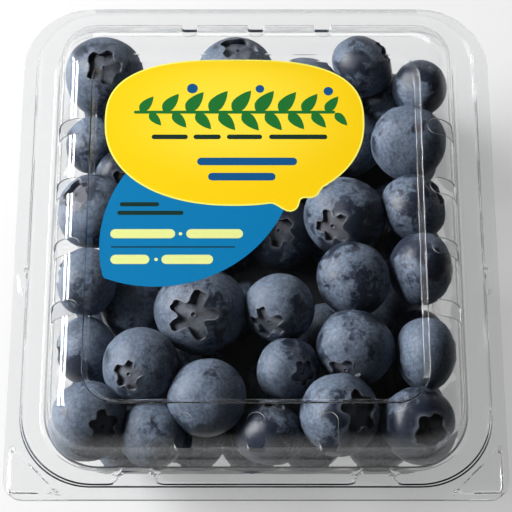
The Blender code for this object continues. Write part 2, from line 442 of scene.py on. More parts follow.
@dataclass(frozen=True)
class FruitSkin:
    """Blueberry skin: blue-black under a pale blue bloom, with a dull grey-brown crown."""

    name: str
    skin: tuple[float, float, float] = (0.006, 0.009, 0.021)
    bloom: tuple[float, float, float] = (0.17, 0.216, 0.292)
    crown: tuple[float, float, float] = (0.135, 0.135, 0.148)
    lip: tuple[float, float, float] = (0.2, 0.22, 0.26)
    scuff: tuple[float, float, float] = (0.17, 0.125, 0.105)
    skin_roughness: float = 0.3
    bloom_roughness: float = 0.62
    relief: float = 0.0002

    def build(self, effects: Effects) -> bpy.types.Material:
        """Make the material."""
        material, board, output = new_material(self.name)
        place = board.node("ShaderNodeTexCoord").outputs["Object"]
        seed, bloom = board.attribute("seed"), board.attribute("bloom")
        crown, lip = board.attribute("crown"), board.attribute("lip")
        dust = board.node(
            "ShaderNodeGroup", {"node_tree": effects.dust}, Vector=place, Seed=seed, Amount=bloom
        )
        mask = dust.outputs["Mask"]
        colour = board.mix(mask, (*self.skin, 1.0), (*self.bloom, 1.0))
        worn = board.node(
            "ShaderNodeTexNoise",
            {"noise_dimensions": "4D"},
            Vector=place,
            W=board.math("ADD", seed, 31.0),
            Scale=120.0,
            Detail=5.0,
            Roughness=0.65,
        ).outputs["Fac"]
        colour = board.mix(board.span(worn, 0.66, 0.76, 0.0, 0.55), colour, (*self.scuff, 1.0))
        in_crown = board.math("MULTIPLY", crown, board.span(mask, 0.0, 0.9, 0.75, 0.6))
        colour = board.mix(in_crown, colour, (*self.crown, 1.0))
        colour = board.mix(board.math("MULTIPLY", lip, 0.55), colour, (*self.lip, 1.0))
        rough = board.span(mask, 0.0, 0.7, self.skin_roughness, self.bloom_roughness)
        rough = board.math("MAXIMUM", rough, board.math("MULTIPLY", crown, 0.75))
        bump = board.node(
            "ShaderNodeBump", Strength=0.6, Distance=self.relief, Height=dust.outputs["Height"]
        )
        skin = board.node(
            "ShaderNodeBsdfPrincipled",
            Base_Color=colour,
            Roughness=rough,
            IOR=1.4,
            Normal=bump.outputs["Normal"],
        )
        board.tree.links.new(skin.outputs["BSDF"], output.inputs["Surface"])
        return material


@dataclass(frozen=True)
class ShadeFillFruit:
    """What shows between the berries: nearly black fruit, whose near-black colour is painted shade for the
    heap's shadowed inside.
    """

    name: str
    # painted shade: near-black, lightly dusted, where the heap's inside lies in shadow
    colour: tuple[float, float, float] = (0.0015, 0.002, 0.004)
    dusty: tuple[float, float, float] = (0.006, 0.008, 0.014)

    def build(self, effects: Effects) -> bpy.types.Material:
        """Make the material."""
        material, board, output = new_material(self.name)
        place = board.node("ShaderNodeTexCoord").outputs["Object"]
        dust = board.node("ShaderNodeGroup", {"node_tree": effects.dust}, Vector=place, Amount=0.7)
        colour = board.mix(dust.outputs["Mask"], (*self.colour, 1.0), (*self.dusty, 1.0))
        fruit = board.node("ShaderNodeBsdfPrincipled", Base_Color=colour, Roughness=0.7)
        board.tree.links.new(fruit.outputs["BSDF"], output.inputs["Surface"])
        return material


@dataclass(frozen=True)
class Ink:
    """One flat printed colour on satin film."""

    name: str
    colour: tuple[float, float, float]
    roughness: float = 0.42

    def build(self, effects: Effects) -> bpy.types.Material:
        """Make the material."""
        material, board, output = new_material(self.name)
        place = board.node("ShaderNodeTexCoord").outputs["Object"]
        grain = board.node("ShaderNodeGroup", {"node_tree": effects.grain}, Vector=place, Scale=2600.0)
        duller = tuple(part * 0.965 for part in self.colour)
        colour = board.mix(grain.outputs["Mask"], (*self.colour, 1.0), (*duller, 1.0))
        film = board.node(
            "ShaderNodeBsdfPrincipled",
            Base_Color=colour,
            Roughness=self.roughness,
            IOR=1.35,
            Normal=grain_on(board, effects, 2600.0, 0.000008),
        )
        board.tree.links.new(film.outputs["BSDF"], output.inputs["Surface"])
        return material


@dataclass(frozen=True)
class GlowingInk:
    """Printed yellow that is lighter in the middle of its field."""

    name: str
    middle: tuple[float, float, float]
    edge: tuple[float, float, float]
    centre: tuple[float, float]
    reach: tuple[float, float]
    roughness: float = 0.42

    def build(self, effects: Effects) -> bpy.types.Material:
        """Make the material."""
        material, board, output = new_material(self.name)
        place = board.node("ShaderNodeTexCoord").outputs["Object"]
        shift = (-self.centre[0] / self.reach[0], -self.centre[1] / self.reach[1], 0.0)
        scale = (1.0 / (self.reach[0] * MM), 1.0 / (self.reach[1] * MM), 0.0)
        field_place = board.node("ShaderNodeMapping", Vector=place, Location=shift, Scale=scale)
        away = board.node("ShaderNodeVectorMath", {"operation": "LENGTH"}, in_0=field_place.outputs[0])
        share = board.span(away.outputs["Value"], 0.15, 1.05)
        colour = board.mix(share, (*self.middle, 1.0), (*self.edge, 1.0))
        film = board.node(
            "ShaderNodeBsdfPrincipled",
            Base_Color=colour,
            Roughness=self.roughness,
            IOR=1.35,
            Normal=grain_on(board, effects, 2600.0, 0.000008),
        )
        board.tree.links.new(film.outputs["BSDF"], output.inputs["Surface"])
        return material


@dataclass(frozen=True)
class StudioFloor:
    """Plain pale floor with a slight glow that keeps its shadows light, dimmer in reflections."""

    name: str
    colour: tuple[float, float, float] = (0.46, 0.46, 0.46)
    glow: float = 0.42
    mirrored: float = 0.25

    def build(self, effects: Effects) -> bpy.types.Material:
        """Make the material."""
        material, board, output = new_material(self.name)
        path = board.node("ShaderNodeLightPath")
        reflected = board.math(
            "SUBTRACT", path.outputs["Is Glossy Ray"], path.outputs["Is Transmission Ray"], clamp=True
        )
        dimmed = board.math("MULTIPLY_ADD", reflected, self.mirrored - 1.0, 1.0)
        darker = tuple(part * self.mirrored for part in self.colour)
        floor = board.node(
            "ShaderNodeBsdfPrincipled",
            Base_Color=board.mix(reflected, (*self.colour, 1.0), (*darker, 1.0)),
            Roughness=0.8,
            Emission_Color=(1.0, 1.0, 1.0, 1.0),
            Emission_Strength=board.math("MULTIPLY", dimmed, self.glow),
            Normal=grain_on(board, effects, 500.0, 0.00002),
        )
        board.tree.links.new(floor.outputs["BSDF"], output.inputs["Surface"])
        return material


# ---------------------------------------------------------------------------------------------
# Pack: level lines, stamps and the two pressed halves
# ---------------------------------------------------------------------------------------------


@dataclass(frozen=True)
class PackSize:
    """The frame's own sizes, in millimetres."""

    half_width: float
    half_length: float
    fold_height: float
    lid_top: float
    label_low: float

    @classmethod
    def from_frame(cls) -> "PackSize":
        """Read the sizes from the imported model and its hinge."""
        fold = frame["joints"][0]["pos_m"]
        lid_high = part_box("lid")[1]
        return cls(
            half_width=lid_high.x / MM,
            half_length=fold[1] / MM,
            fold_height=fold[2] / MM,
            lid_top=lid_high.z / MM,
            label_low=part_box("label")[0].z / MM,
        )


@dataclass(frozen=True)
class Ring:
    """One level line of a pressed sheet: a rectangle with round corners."""

    side: float
    front: float
    back: float
    front_radius: float
    back_radius: float
    height: float

    ACROSS = 96
    ALONG = 108
    CORNER = 22

    def inset(self, by: float, rise: float = 0.0) -> "Ring":
        """The parallel line further in, and higher by rise."""
        return Ring(
            self.side - by,
            self.front - by,
            self.back - by,
            self.front_radius - by,
            self.back_radius - by,
            self.height + rise,
        )

    def points(self) -> np.ndarray:
        """Points along the line, anticlockwise from the front right corner's start."""
        corners = (
            (1, -1, self.front, self.front_radius, -90.0),
            (1, 1, self.back, self.back_radius, 0.0),
            (-1, 1, self.back, self.back_radius, 90.0),
            (-1, -1, self.front, self.front_radius, 180.0),
        )
        arcs = []
        for x_sign, y_sign, reach, radius, start in corners:
            angles = np.radians(start + 90.0 * np.arange(self.CORNER + 1) / self.CORNER)
            x = x_sign * (self.side - radius) + radius * np.cos(angles)
            y = y_sign * (reach - radius) + radius * np.sin(angles)
            arcs.append(np.stack([x, y], axis=1))
        plan = []
        for place, arc in enumerate(arcs):
            after = arcs[(place + 1) % len(arcs)][0]
            steps = self.ALONG if place % 2 == 0 else self.ACROSS
            share = np.arange(1, steps)[:, None] / steps
            plan += [arc, arc[-1] + (after - arc[-1]) * share]
        plan = np.concatenate(plan)
        return np.column_stack([plan, np.full(len(plan), self.height)])


@dataclass(frozen=True)
class Line:
    """A ring of a sheet's section, how softly the sheet bends there, and the lines after it."""

    points: np.ndarray
    bend: float = 0.0
    rows: int = 0


def section(lines: Sequence[Line], bend_steps: int = 4) -> list[np.ndarray]:
    """Work out all the level lines of a sheet, with its bends rounded.

    Args:
        lines: The sheet's main lines, from its edge inwards.
        bend_steps: Steps in each rounded bend.

    Returns:
        The lines' points, from the edge inwards.
    """
    legs = []
    for before, here, after in zip(lines, lines[1:], lines[2:]):
        if here.bend <= 0:
            legs.append([here.points])
            continue
        back, ahead = before.points - here.points, after.points - here.points
        back_share = np.minimum(0.45, here.bend / np.linalg.norm(back, axis=1))[:, None]
        ahead_share = np.minimum(0.45, here.bend / np.linalg.norm(ahead, axis=1))[:, None]
        start, end = here.points + back * back_share, here.points + ahead * ahead_share
        arc = []
        for step in range(bend_steps + 1):
            t = step / bend_steps
            arc.append(start * (1 - t) ** 2 + here.points * 2 * t * (1 - t) + end * t**2)
        legs.append(arc)
    legs = [[lines[0].points]] + legs + [[lines[-1].points]]
    rows = []
    for line, leg, following in zip(lines, legs, legs[1:] + [None]):
        rows += leg
        if following is not None:
            for row in range(1, line.rows + 1):
                share = row / (line.rows + 1)
                rows.append(leg[-1] * (1 - share) + following[0] * share)
    return rows


def outline_distance(points: np.ndarray, outline: Sequence[tuple[float, float]]) -> np.ndarray:
    """Distance from points to a closed outline in plan, negative inside it.

    Args:
        points: Places, one a row, of which X and Y count.
        outline: The outline's corners.

    Returns:
        One signed distance for each place.
    """
    plan = points[:, :2]
    nearest = np.full(len(plan), np.inf)
    inside = np.zeros(len(plan), bool)
    corners = [np.array(corner) for corner in outline]
    for start, end in zip(corners, corners[1:] + corners[:1]):
        run = end - start
        share = np.clip(((plan - start) @ run) / (run @ run), 0, 1)
        nearest = np.minimum(nearest, np.linalg.norm(plan - start - share[:, None] * run, axis=1))
        if start[1] == end[1]:
            continue
        crosses = (start[1] > plan[:, 1]) != (end[1] > plan[:, 1])
        at = start[0] + (plan[:, 1] - start[1]) / (end[1] - start[1]) * run[0]
        inside ^= crosses & (plan[:, 0] < at)
    return np.where(inside, -nearest, nearest)


@dataclass(frozen=True)
class Stamp:
    """A shape pressed into a sheet, the same on the left and the right."""

    outline: tuple[tuple[float, float], ...]
    corner: float
    rise: float = 0.0
    slope: float = 0.5
    level: Optional[float] = None

    def press(self, points: np.ndarray) -> np.ndarray:
        """Move the points that lie within the shape.

        Args:
            points: The sheet's points.

        Returns:
            The points, raised or sunk by rise, or brought to the stamp's own level.
        """
        mirrored = np.column_stack([np.abs(points[:, 0]), points[:, 1]])
        away = outline_distance(mirrored, self.outline) - self.corner
        share = np.clip(0.5 - away / self.slope, 0, 1)
        share = share * share * (3 - 2 * share)
        pressed = points.copy()
        if self.level is None:
            pressed[:, 2] += share * self.rise
        else:
            pressed[:, 2] += share * np.maximum(self.level - points[:, 2], 0)
        return pressed


@dataclass(frozen=True)
class Lug:
    """A small upright bead on a wall's corner, left and right."""

    place: tuple[float, float]
    out: tuple[float, float]
    size: float = 1.3
    push: float = 0.8

    def press(self, points: np.ndarray) -> np.ndarray:
        """Push the wall's points outwards near the bead and return them all."""
        sign = np.where(points[:, 0] < 0, -1.0, 1.0)
        plan = np.column_stack([np.abs(points[:, 0]), points[:, 1]])
        away = np.linalg.norm(plan - np.array(self.place), axis=1) / self.size
        share = np.exp(-(away**2) * 1.6)
        pressed = points.copy()
        pressed[:, 0] += sign * share * self.push * self.out[0]
        pressed[:, 1] += share * self.push * self.out[1]
        return pressed


@dataclass(frozen=True)
class Vent:
    """A slot with a flat outer end and a round inner end."""

    width: float = 3.9
    corner: float = 0.7

    def cutter(self, length: float, low: float, high: float) -> bpy.types.Object:
        """Model one upright cutter at the origin, its flat end at Y 0 and its round end along +Y.

        Args:
            length: From the flat to the round end.
            low: Height of its foot.
            high: Height of its head.

        Returns:
            The cutter.
        """
        bpy.ops.mesh.primitive_cube_add(size=1.0, location=(0.0, length / 2, (low + high) / 2))
        block = bpy.context.active_object
        block.scale = (self.width, length, high - low)
        drop_place(block)
        for at_end, radius, steps in ((True, self.width * 0.499, 8), (False, self.corner, 4)):
            form = edit(block, Mode.EDGE)
            for edge in form.edges:
                start, end = (corner.co for corner in edge.verts)
                upright = abs(start.z - end.z) > (high - low) / 2
                edge.select_set(upright and (start.y > length / 2) == at_end)
            bmesh.update_edit_mesh(block.data)
            bpy.ops.mesh.bevel(offset=radius, segments=steps, profile=0.5, affect="EDGES")
            leave_edit()
        return block


@dataclass
class PressedHalf:
    """One half of the pack: level lines bridged into a sheet, stamped, thickened and vented."""

    name: str
    size: PackSize
    thickness: float = 0.4
    flange_rows: int = 36
    groove_rows: int = 5
    groove_depth: float = 0.8
    edge_radii: tuple[float, float] = (4.5, 16.0)
    vent: Vent = field(default_factory=Vent)
    end_vents: tuple[float, ...] = (-15.6, 0.0, 15.6)
    side_vents: tuple[float, ...] = (-21.2, -6.4, 8.4, 23.2)
    strip_reach: float = 45.5
    strip_taper: float = 1.0
    finish: Optional[bpy.types.Material] = None
    # finish of the vents' cut faces: a painted highlight, pale grey in place of caught light
    cut_finish: Optional[bpy.types.Material] = None

    def flange_line(self, height: float) -> np.ndarray:
        """The sheet's outer edge, with the fold's straight strip between the back corners."""
        length = self.size.half_length - 0.15
        points = Ring(self.size.half_width, length, length, *self.edge_radii, height).points()
        straight = self.size.half_width - self.edge_radii[1]
        away = np.abs(points[:, 0])
        taper = np.clip((away - straight) / (self.strip_reach - straight), 0, 1)
        strip = length - self.strip_taper * taper
        on_strip = (away < self.strip_reach) & (points[:, 1] > length - self.edge_radii[1])
        points[:, 1] = np.where(on_strip, np.maximum(points[:, 1], strip), points[:, 1])
        return points

    def draw(self, rows: Sequence[np.ndarray]) -> bpy.types.Object:
        """Model the sheet's skin from a ring of edges, extruded inwards line by line.

        Args:
            rows: The level lines' points, from the edge inwards.

        Returns:
            The skin, facing up, closed by a flat panel.
        """
        count = len(rows[0])
        bpy.ops.mesh.primitive_circle_add(vertices=count, radius=self.size.half_width)
        skin = name_piece(bpy.context.active_object, self.name)
        form = edit(skin, Mode.EDGE)
        around = form.verts.layers.int.new("around")
        form.verts.ensure_lookup_table()
        for place, vertex in enumerate(form.verts):
            vertex[around] = place
            vertex.co = rows[0][place]
        bpy.ops.mesh.select_all(action="SELECT")
        for row in rows[1:]:
            bpy.ops.mesh.extrude_edges_move()
            form = bmesh.from_edit_mesh(skin.data)
            around = form.verts.layers.int["around"]
            for vertex in form.verts:
                if vertex.select:
                    vertex.co = row[vertex[around]]
        bpy.ops.mesh.edge_face_add()
        bpy.ops.mesh.select_all(action="SELECT")
        bpy.ops.mesh.normals_make_consistent(inside=False)
        leave_edit()
        up = max(skin.data.polygons, key=lambda face: face.area).normal.z
        if up < 0:
            skin.data.flip_normals()
        skin.data.attributes.remove(skin.data.attributes["around"])
        return skin

    def stamp(
        self, skin: bpy.types.Object, marks: Sequence[Union[Stamp, Lug]], low: float, high: float
    ) -> None:
        """Press shapes into the skin's points between two heights.

        Args:
            skin: The sheet's skin.
            marks: The shapes.
            low: Points below this height stay.
            high: Points above this height stay.
        """
        mesh = skin.data
        points = np.empty(len(mesh.vertices) * 3)
        mesh.vertices.foreach_get("co", points)
        points = points.reshape(-1, 3)
        chosen = (points[:, 2] > low) & (points[:, 2] < high)
        part = points[chosen]
        for mark in marks:
            part = mark.press(part)
        points[chosen] = part
        mesh.vertices.foreach_set("co", points.ravel())
        mesh.update()

    def thicken(self, skin: bpy.types.Object) -> None:
        """Give the skin its thickness, away from its upper face."""
        sheet = skin.modifiers.new("sheet", "SOLIDIFY")
        sheet.thickness = self.thickness
        sheet.offset = -1.0
        sheet.use_even_offset = True
        apply_modifiers(skin)

    def cut_vents(
        self,
        sheet: bpy.types.Object,
        reach: tuple[float, float, float],
        length: float,
        span: tuple[float, float],
    ) -> None:
        """Cut the vents across the bend.

        Args:
            sheet: The thickened sheet.
            reach: Where the flat ends lie: to the side, to the front and to the back.
            length: The slots' length.
            span: Heights between which the cutters reach.
        """
        side, front, back = reach
        places = [(x, -front, 0.0) for x in self.end_vents]
        places += [(x, back, math.pi) for x in self.end_vents]
        places += [(side, y, math.pi / 2) for y in self.side_vents]
        places += [(-side, y, -math.pi / 2) for y in self.side_vents]
        first = self.vent.cutter(length, *span)
        # the cut faces take this painted-highlight finish from the cutters
        first.data.materials.append(self.cut_finish)
        cutters = []
        for x, y, turn in places:
            copy = first.copy()
            copy.data = first.data.copy()
            bpy.context.scene.collection.objects.link(copy)
            copy.data.transform(Matrix.Translation((x, y, 0.0)) @ Matrix.Rotation(turn, 4, "Z"))
            cutters.append(copy)
        bpy.data.objects.remove(first)
        cutter = join(cutters)
        vents = sheet.modifiers.new("vents", "BOOLEAN")
        vents.operation = "DIFFERENCE"
        vents.solver = "EXACT"
        vents.material_mode = "TRANSFER"
        vents.object = cutter
        apply_modifiers(sheet)
        bpy.data.objects.remove(cutter)


@dataclass
class Lid(PressedHalf):
    """The upper half: flange, groove, wall, round shoulder, rim and a sunk panel."""

    wall: tuple[float, float] = (2.2, 6.9)
    shoulder_steps: int = 9
    recess: tuple[float, float] = (1.1, 1.7)
    catch: tuple[float, float] = (20.5, 31.5)

    def lines(self) -> list[Line]:
        """The lid's main lines, from the flange's edge to the panel."""
        flange = self.size.fold_height + 0.1 + self.thickness
        floor = flange - self.groove_depth
        groove_top = Ring(51.5, 57.3, 59.5, 16.0, 14.0, flange)
        wall_foot = Ring(47.6, 54.0, 54.4, 12.5, 10.0, floor)
        wall_top = wall_foot.inset(*self.wall)
        rim = Ring(38.9, 45.0, 44.2, 9.0, 7.5, self.size.lid_top)
        recess_edge = Ring(37.5, 43.0, 41.4, 7.6, 6.0, self.size.lid_top)
        recess_foot = recess_edge.inset(self.recess[0], -self.recess[1])
        lines = [
            Line(self.flange_line(flange), rows=self.flange_rows),
            Line(groove_top.points(), bend=0.22),
            Line(groove_top.inset(0.4, -self.groove_depth).points(), bend=0.22, rows=self.groove_rows),
            Line(wall_foot.points(), bend=0.35, rows=4),
        ]
        start, end = wall_top.points(), rim.points()
        for step in range(self.shoulder_steps):
            angle = math.pi / 2 * step / self.shoulder_steps
            plan = start + (end - start) * (1 - math.cos(angle))
            plan[:, 2] = start[:, 2] + (end - start)[:, 2] * math.sin(angle)
            lines.append(Line(plan))
        lines += [
            Line(rim.points(), rows=1),
            Line(recess_edge.points(), bend=0.28),
            Line(recess_foot.points(), bend=0.28),
            Line(recess_foot.inset(0.6).points()),
            Line(recess_foot.inset(3.0).points()),
        ]
        return lines

    def marks(self) -> list[Union[Stamp, Lug]]:
        """What is pressed into the flange and the groove."""
        flange = self.size.fold_height + 0.1 + self.thickness
        width, length = self.size.half_width, self.size.half_length
        near, far = self.catch
        inner, outer = length - 7.4, length - 3.2
        return [
            Stamp(((width - 2.1, -50.6), (width - 2.1, -59.0), (44.2, -59.0)), 0.9, rise=0.6, slope=0.5),
            Stamp(((width - 2.4, -53.6), (width - 2.4, -58.7), (47.4, -58.7)), 0.5, rise=-0.4, slope=0.5),
            Stamp(((50.1, -39.0), (51.0, -39.0), (51.0, -24.0), (50.1, -24.0)), 0.2, rise=0.5, slope=0.6),
            Stamp(((50.1, 21.0), (51.0, 21.0), (51.0, 32.5), (50.1, 32.5)), 0.2, rise=0.5, slope=0.6),
            Stamp(((52.9, -12.0), (53.2, -9.2), (52.3, -7.6)), 0.7, rise=0.55, slope=0.9),
            Stamp(
                ((near, -outer), (far, -outer), (far - 2.6, -inner), (near + 2.6, -inner)),
                0.3,
                level=flange,
            ),
            Lug((46.3, 51.9), (0.7, 0.7)),
            Lug((45.4, -50.2), (0.7, -0.7)),
        ]

    def build(self) -> bpy.types.Object:
        """Model the lid, hang it on the cover and return it."""
        skin = self.draw(section(self.lines()))
        flange = self.size.fold_height + 0.1 + self.thickness
        self.stamp(skin, self.marks(), flange - self.groove_depth - 0.05, flange + 4.0)
        self.thicken(skin)
        skin.data.materials.append(self.finish)
        self.cut_vents(skin, (45.4, 51.6, 52.6), 6.4, (flange + 3.0, self.size.lid_top + 2.0))
        settle(skin, "cover")
        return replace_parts(skin, "lid")


@dataclass
class Tray(PressedHalf):
    """The lower half: flange, groove, leaning wall, foot and a raised floor."""

    lean: float = 4.3
    bend_height: float = 5.2
    foot_width: float = 3.0
    floor_rise: float = 1.2
    bend_rows: int = 7

    def lines(self) -> list[Line]:
        """The tray's main lines, from the flange's edge to its floor."""
        flange = self.size.fold_height - 0.1
        groove_top = Ring(51.9, 57.7, 59.8, 16.0, 14.0, flange)
        wall_head = Ring(46.4, 52.7, 52.8, 12.1, 9.6, flange - self.groove_depth)
        wall_foot = wall_head.inset(self.lean, self.bend_height - wall_head.height)
        foot = Ring(36.6, 42.4, 42.4, 7.0, 5.0, self.thickness)
        foot_inside = foot.inset(self.foot_width)
        lines = [
            Line(self.flange_line(flange), rows=self.flange_rows // 5),
            Line(groove_top.points(), bend=0.22),
            Line(groove_top.inset(0.4, -self.groove_depth).points(), bend=0.22, rows=self.groove_rows),
            Line(wall_head.points(), bend=0.6, rows=7),
        ]
        start, end = wall_foot.points(), foot.points()
        for step in range(self.bend_rows):
            angle = math.pi / 2 * step / self.bend_rows
            plan = start + (end - start) * (1 - math.cos(angle))
            plan[:, 2] = start[:, 2] + (end - start)[:, 2] * math.sin(angle)
            lines.append(Line(plan))
        lines += [
            Line(foot.points()),
            Line(foot_inside.points(), bend=0.5),
            Line(foot_inside.inset(self.floor_rise, self.floor_rise).points(), bend=0.5),
            Line(foot_inside.inset(self.floor_rise + 1.0, self.floor_rise).points()),
        ]
        return lines

    def build(self) -> bpy.types.Object:
        """Model the tray, hang it on the base and return it."""
        skin = self.draw(section(self.lines()))
        self.thicken(skin)
        skin.data.materials.append(self.finish)
        self.cut_vents(skin, (42.0, 48.0, 48.0), 4.6, (-1.0, 7.0))
        settle(skin, "base")
        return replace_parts(skin, "tray")


@dataclass
class Fold:
    """The bent strip of sheet that joins the two flanges along the hinge."""

    size: PackSize
    half_span: float = 38.8
    radius: float = 0.42
    thickness: float = 0.3

    def build(self, finish: bpy.types.Material) -> bpy.types.Object:
        """Model the strip by spinning an edge half round the fold.

        Args:
            finish: The clear sheet's material.

        Returns:
            The finished piece.
        """
        middle = (0.0, self.size.half_length - 0.3, self.size.fold_height)
        low = middle[2] - self.radius
        bpy.ops.mesh.primitive_plane_add(size=1.0, location=(0.0, middle[1], low))
        strip = name_piece(bpy.context.active_object, "fold_strip")
        strip.scale = (2 * self.half_span, 0.2, 1.0)
        drop_place(strip)
        form = edit(strip, Mode.EDGE)
        for edge in form.edges:
            edge.select_set(all(corner.co.y > middle[1] for corner in edge.verts))
        bmesh.update_edit_mesh(strip.data)
        bpy.ops.mesh.spin(steps=8, angle=math.pi, center=middle, axis=(1.0, 0.0, 0.0))
        leave_edit()
        sheet = strip.modifiers.new("sheet", "SOLIDIFY")
        sheet.thickness = self.thickness
        sheet.offset = 0.0
        apply_modifiers(strip)
        strip.data.materials.append(finish)
        drop_place(strip)
        bpy.ops.object.shade_smooth_by_angle(angle=math.radians(40.0))
        strip.data.transform(Matrix.Scale(MM, 4))
        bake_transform(strip)
        LOG.info("%s: %d faces, between base and cover", strip.name, len(strip.data.polygons))
        return strip


# ---------------------------------------------------------------------------------------------
# Label
# ---------------------------------------------------------------------------------------------


class InkName(Enum):
    """The print's colours."""

    YELLOW = "label_yellow"
    PALE = "label_pale_edge"
    BLUE = "label_blue"
    GREEN = "label_green"
    DARK = "label_dark"
    NAVY = "label_navy"
    CREAM = "label_cream"


@dataclass(frozen=True)
class Bar:
    """A plain rounded bar of print, where a line of words would stand."""

    x: float
    y: float
    length: float
    height: float
    ink: InkName


@dataclass
class Label:
    """A yellow oval with a small wavy tail over a blue lobe, with a leaf sprig and plain bars."""

    size: PackSize
    drop: float = 0.22
    film: float = 0.07
    oval_centre: tuple[float, float] = (-4.9, 24.7)
    oval_reach: tuple[float, float, float] = (29.6, 16.2, 21.0)
    oval_fullness: tuple[float, float] = (2.75, 2.2)
    tail: tuple[tuple[float, float, float], ...] = ((7.4, 4.6, 2.5), (12.0, 7.9, 2.5))
    lobe_heart: tuple[float, float] = (-15.0, 2.0)
    lobe_discs: tuple[tuple[float, float, float], ...] = ((-22.3, 15.4, 31.2), (-4.2, -5.6, 30.6))
    border: float = 0.38

    def oval_outline(self, steps: int = 220) -> np.ndarray:
        """Points round the oval, fuller above than below, with its tail at the lower right."""
        angles = np.linspace(0, 2 * math.pi, steps, endpoint=False)
        cosine, sine = np.cos(angles), np.sin(angles)
        upper = sine >= 0
        rise = np.where(upper, self.oval_reach[1], self.oval_reach[2])
        power = np.where(upper, self.oval_fullness[0], self.oval_fullness[1])
        size = np.abs(cosine / self.oval_reach[0]) ** power + np.abs(sine / rise) ** power
        reach = size ** (-1 / power)
        for x, y, radius in self.tail:
            dx, dy = x - self.oval_centre[0], y - self.oval_centre[1]
            along = dx * cosine + dy * sine
            across = dx * sine - dy * cosine
            hit = (np.abs(across) < radius) & (along > 0)
            edge = along + np.sqrt(np.maximum(radius**2 - across**2, 0))
            reach = np.where(hit, np.maximum(reach, edge), reach)
        for _ in range(2):
            reach = (np.roll(reach, 1) + 2 * reach + np.roll(reach, -1)) / 4
        centre = np.array(self.oval_centre)
        return centre + np.column_stack([reach * cosine, reach * sine])

    def lobe_outline(self, steps: int = 160) -> np.ndarray:
        """Points round the blue lobe, where its two discs overlap."""
        angles = np.linspace(0, 2 * math.pi, steps, endpoint=False)
        cosine, sine = np.cos(angles), np.sin(angles)
        reach = np.full(steps, np.inf)
        for x, y, radius in self.lobe_discs:
            dx, dy = self.lobe_heart[0] - x, self.lobe_heart[1] - y
            half = dx * cosine + dy * sine
            reach = np.minimum(reach, -half + np.sqrt(half**2 - (dx**2 + dy**2 - radius**2)))
        heart = np.array(self.lobe_heart)
        return heart + np.column_stack([reach * cosine, reach * sine])

    def draw_field(
        self, name: str, outline: np.ndarray, low: float, inks: Sequence[bpy.types.Material]
    ) -> bpy.types.Object:
        """Model a flat field of film.

        Args:
            name: The piece's name.
            outline: Its outline in plan, anticlockwise.
            low: Height of its underside.
            inks: Its colour, and its border's colour if it has one.

        Returns:
            The field.
        """
        bpy.ops.mesh.primitive_circle_add(vertices=len(outline), radius=1.0, fill_type="NGON")
        sheet = name_piece(bpy.context.active_object, name)
        for ink in inks:
            sheet.data.materials.append(ink)
        form = edit(sheet, Mode.FACE)
        for vertex, (x, y) in zip(form.verts, outline):
            vertex.co = (x, y, low)
        bpy.ops.mesh.select_all(action="SELECT")
        bpy.ops.mesh.normals_make_consistent(inside=False)
        bpy.ops.mesh.extrude_region_move(TRANSFORM_OT_translate={"value": (0.0, 0.0, self.film)})
        if len(inks) > 1:
            bpy.ops.mesh.inset(thickness=self.border, depth=0.0, use_even_offset=True)
            form = bmesh.from_edit_mesh(sheet.data)
            for face in form.faces:
                face.material_index = 0 if face.select else 1
        bpy.ops.mesh.select_all(action="SELECT")
        bpy.ops.mesh.normals_make_consistent(inside=False)
        leave_edit()
        return sheet

    def draw_bar(self, bar: Bar, low: float, ink: bpy.types.Material) -> bpy.types.Object:
        """Model one rounded bar on the film."""
        bpy.ops.mesh.primitive_plane_add(size=1.0, location=(bar.x, bar.y, low))
        mark = bpy.context.active_object
        mark.scale = (bar.length, bar.height, 1.0)
        drop_place(mark)
        edit(mark, Mode.POINT)
        bpy.ops.mesh.select_all(action="SELECT")
        bpy.ops.mesh.bevel(offset=bar.height * 0.49, segments=5, affect="VERTICES")
        bpy.ops.mesh.select_all(action="SELECT")
        bpy.ops.mesh.extrude_region_move(TRANSFORM_OT_translate={"value": (0.0, 0.0, self.film / 2)})
        leave_edit()
        mark.data.materials.append(ink)
        return mark

    def draw_leaf(
        self, x: float, y: float, length: float, turn: float, low: float, ink: bpy.types.Material
    ) -> bpy.types.Object:
        """Model one pointed leaf with its foot at a place.

        Args:
            x: The foot's place to the right.
            y: The foot's place to the back.
            length: The leaf's length.
            turn: Its direction from +X, in degrees.
            low: Height of the film.
            ink: Its colour.

        Returns:
            The leaf.
        """
        bpy.ops.mesh.primitive_circle_add(vertices=20, radius=length / 2, fill_type="NGON")
        leaf = bpy.context.active_object
        form = edit(leaf, Mode.POINT)
        for vertex in form.verts:
            share = vertex.co.x / (length / 2)
            vertex.co.y *= 0.46 * (1 - 0.45 * share) * math.sqrt(max(1 - share**4, 0.0))
            vertex.co.x += length / 2
        bpy.ops.mesh.select_all(action="SELECT")
        bpy.ops.mesh.extrude_region_move(TRANSFORM_OT_translate={"value": (0.0, 0.0, self.film / 2)})
        leave_edit()
        place = Matrix.Translation((x, y, low)) @ Matrix.Rotation(math.radians(turn), 4, "Z")
        leaf.data.transform(place)
        leaf.data.materials.append(ink)
        return leaf

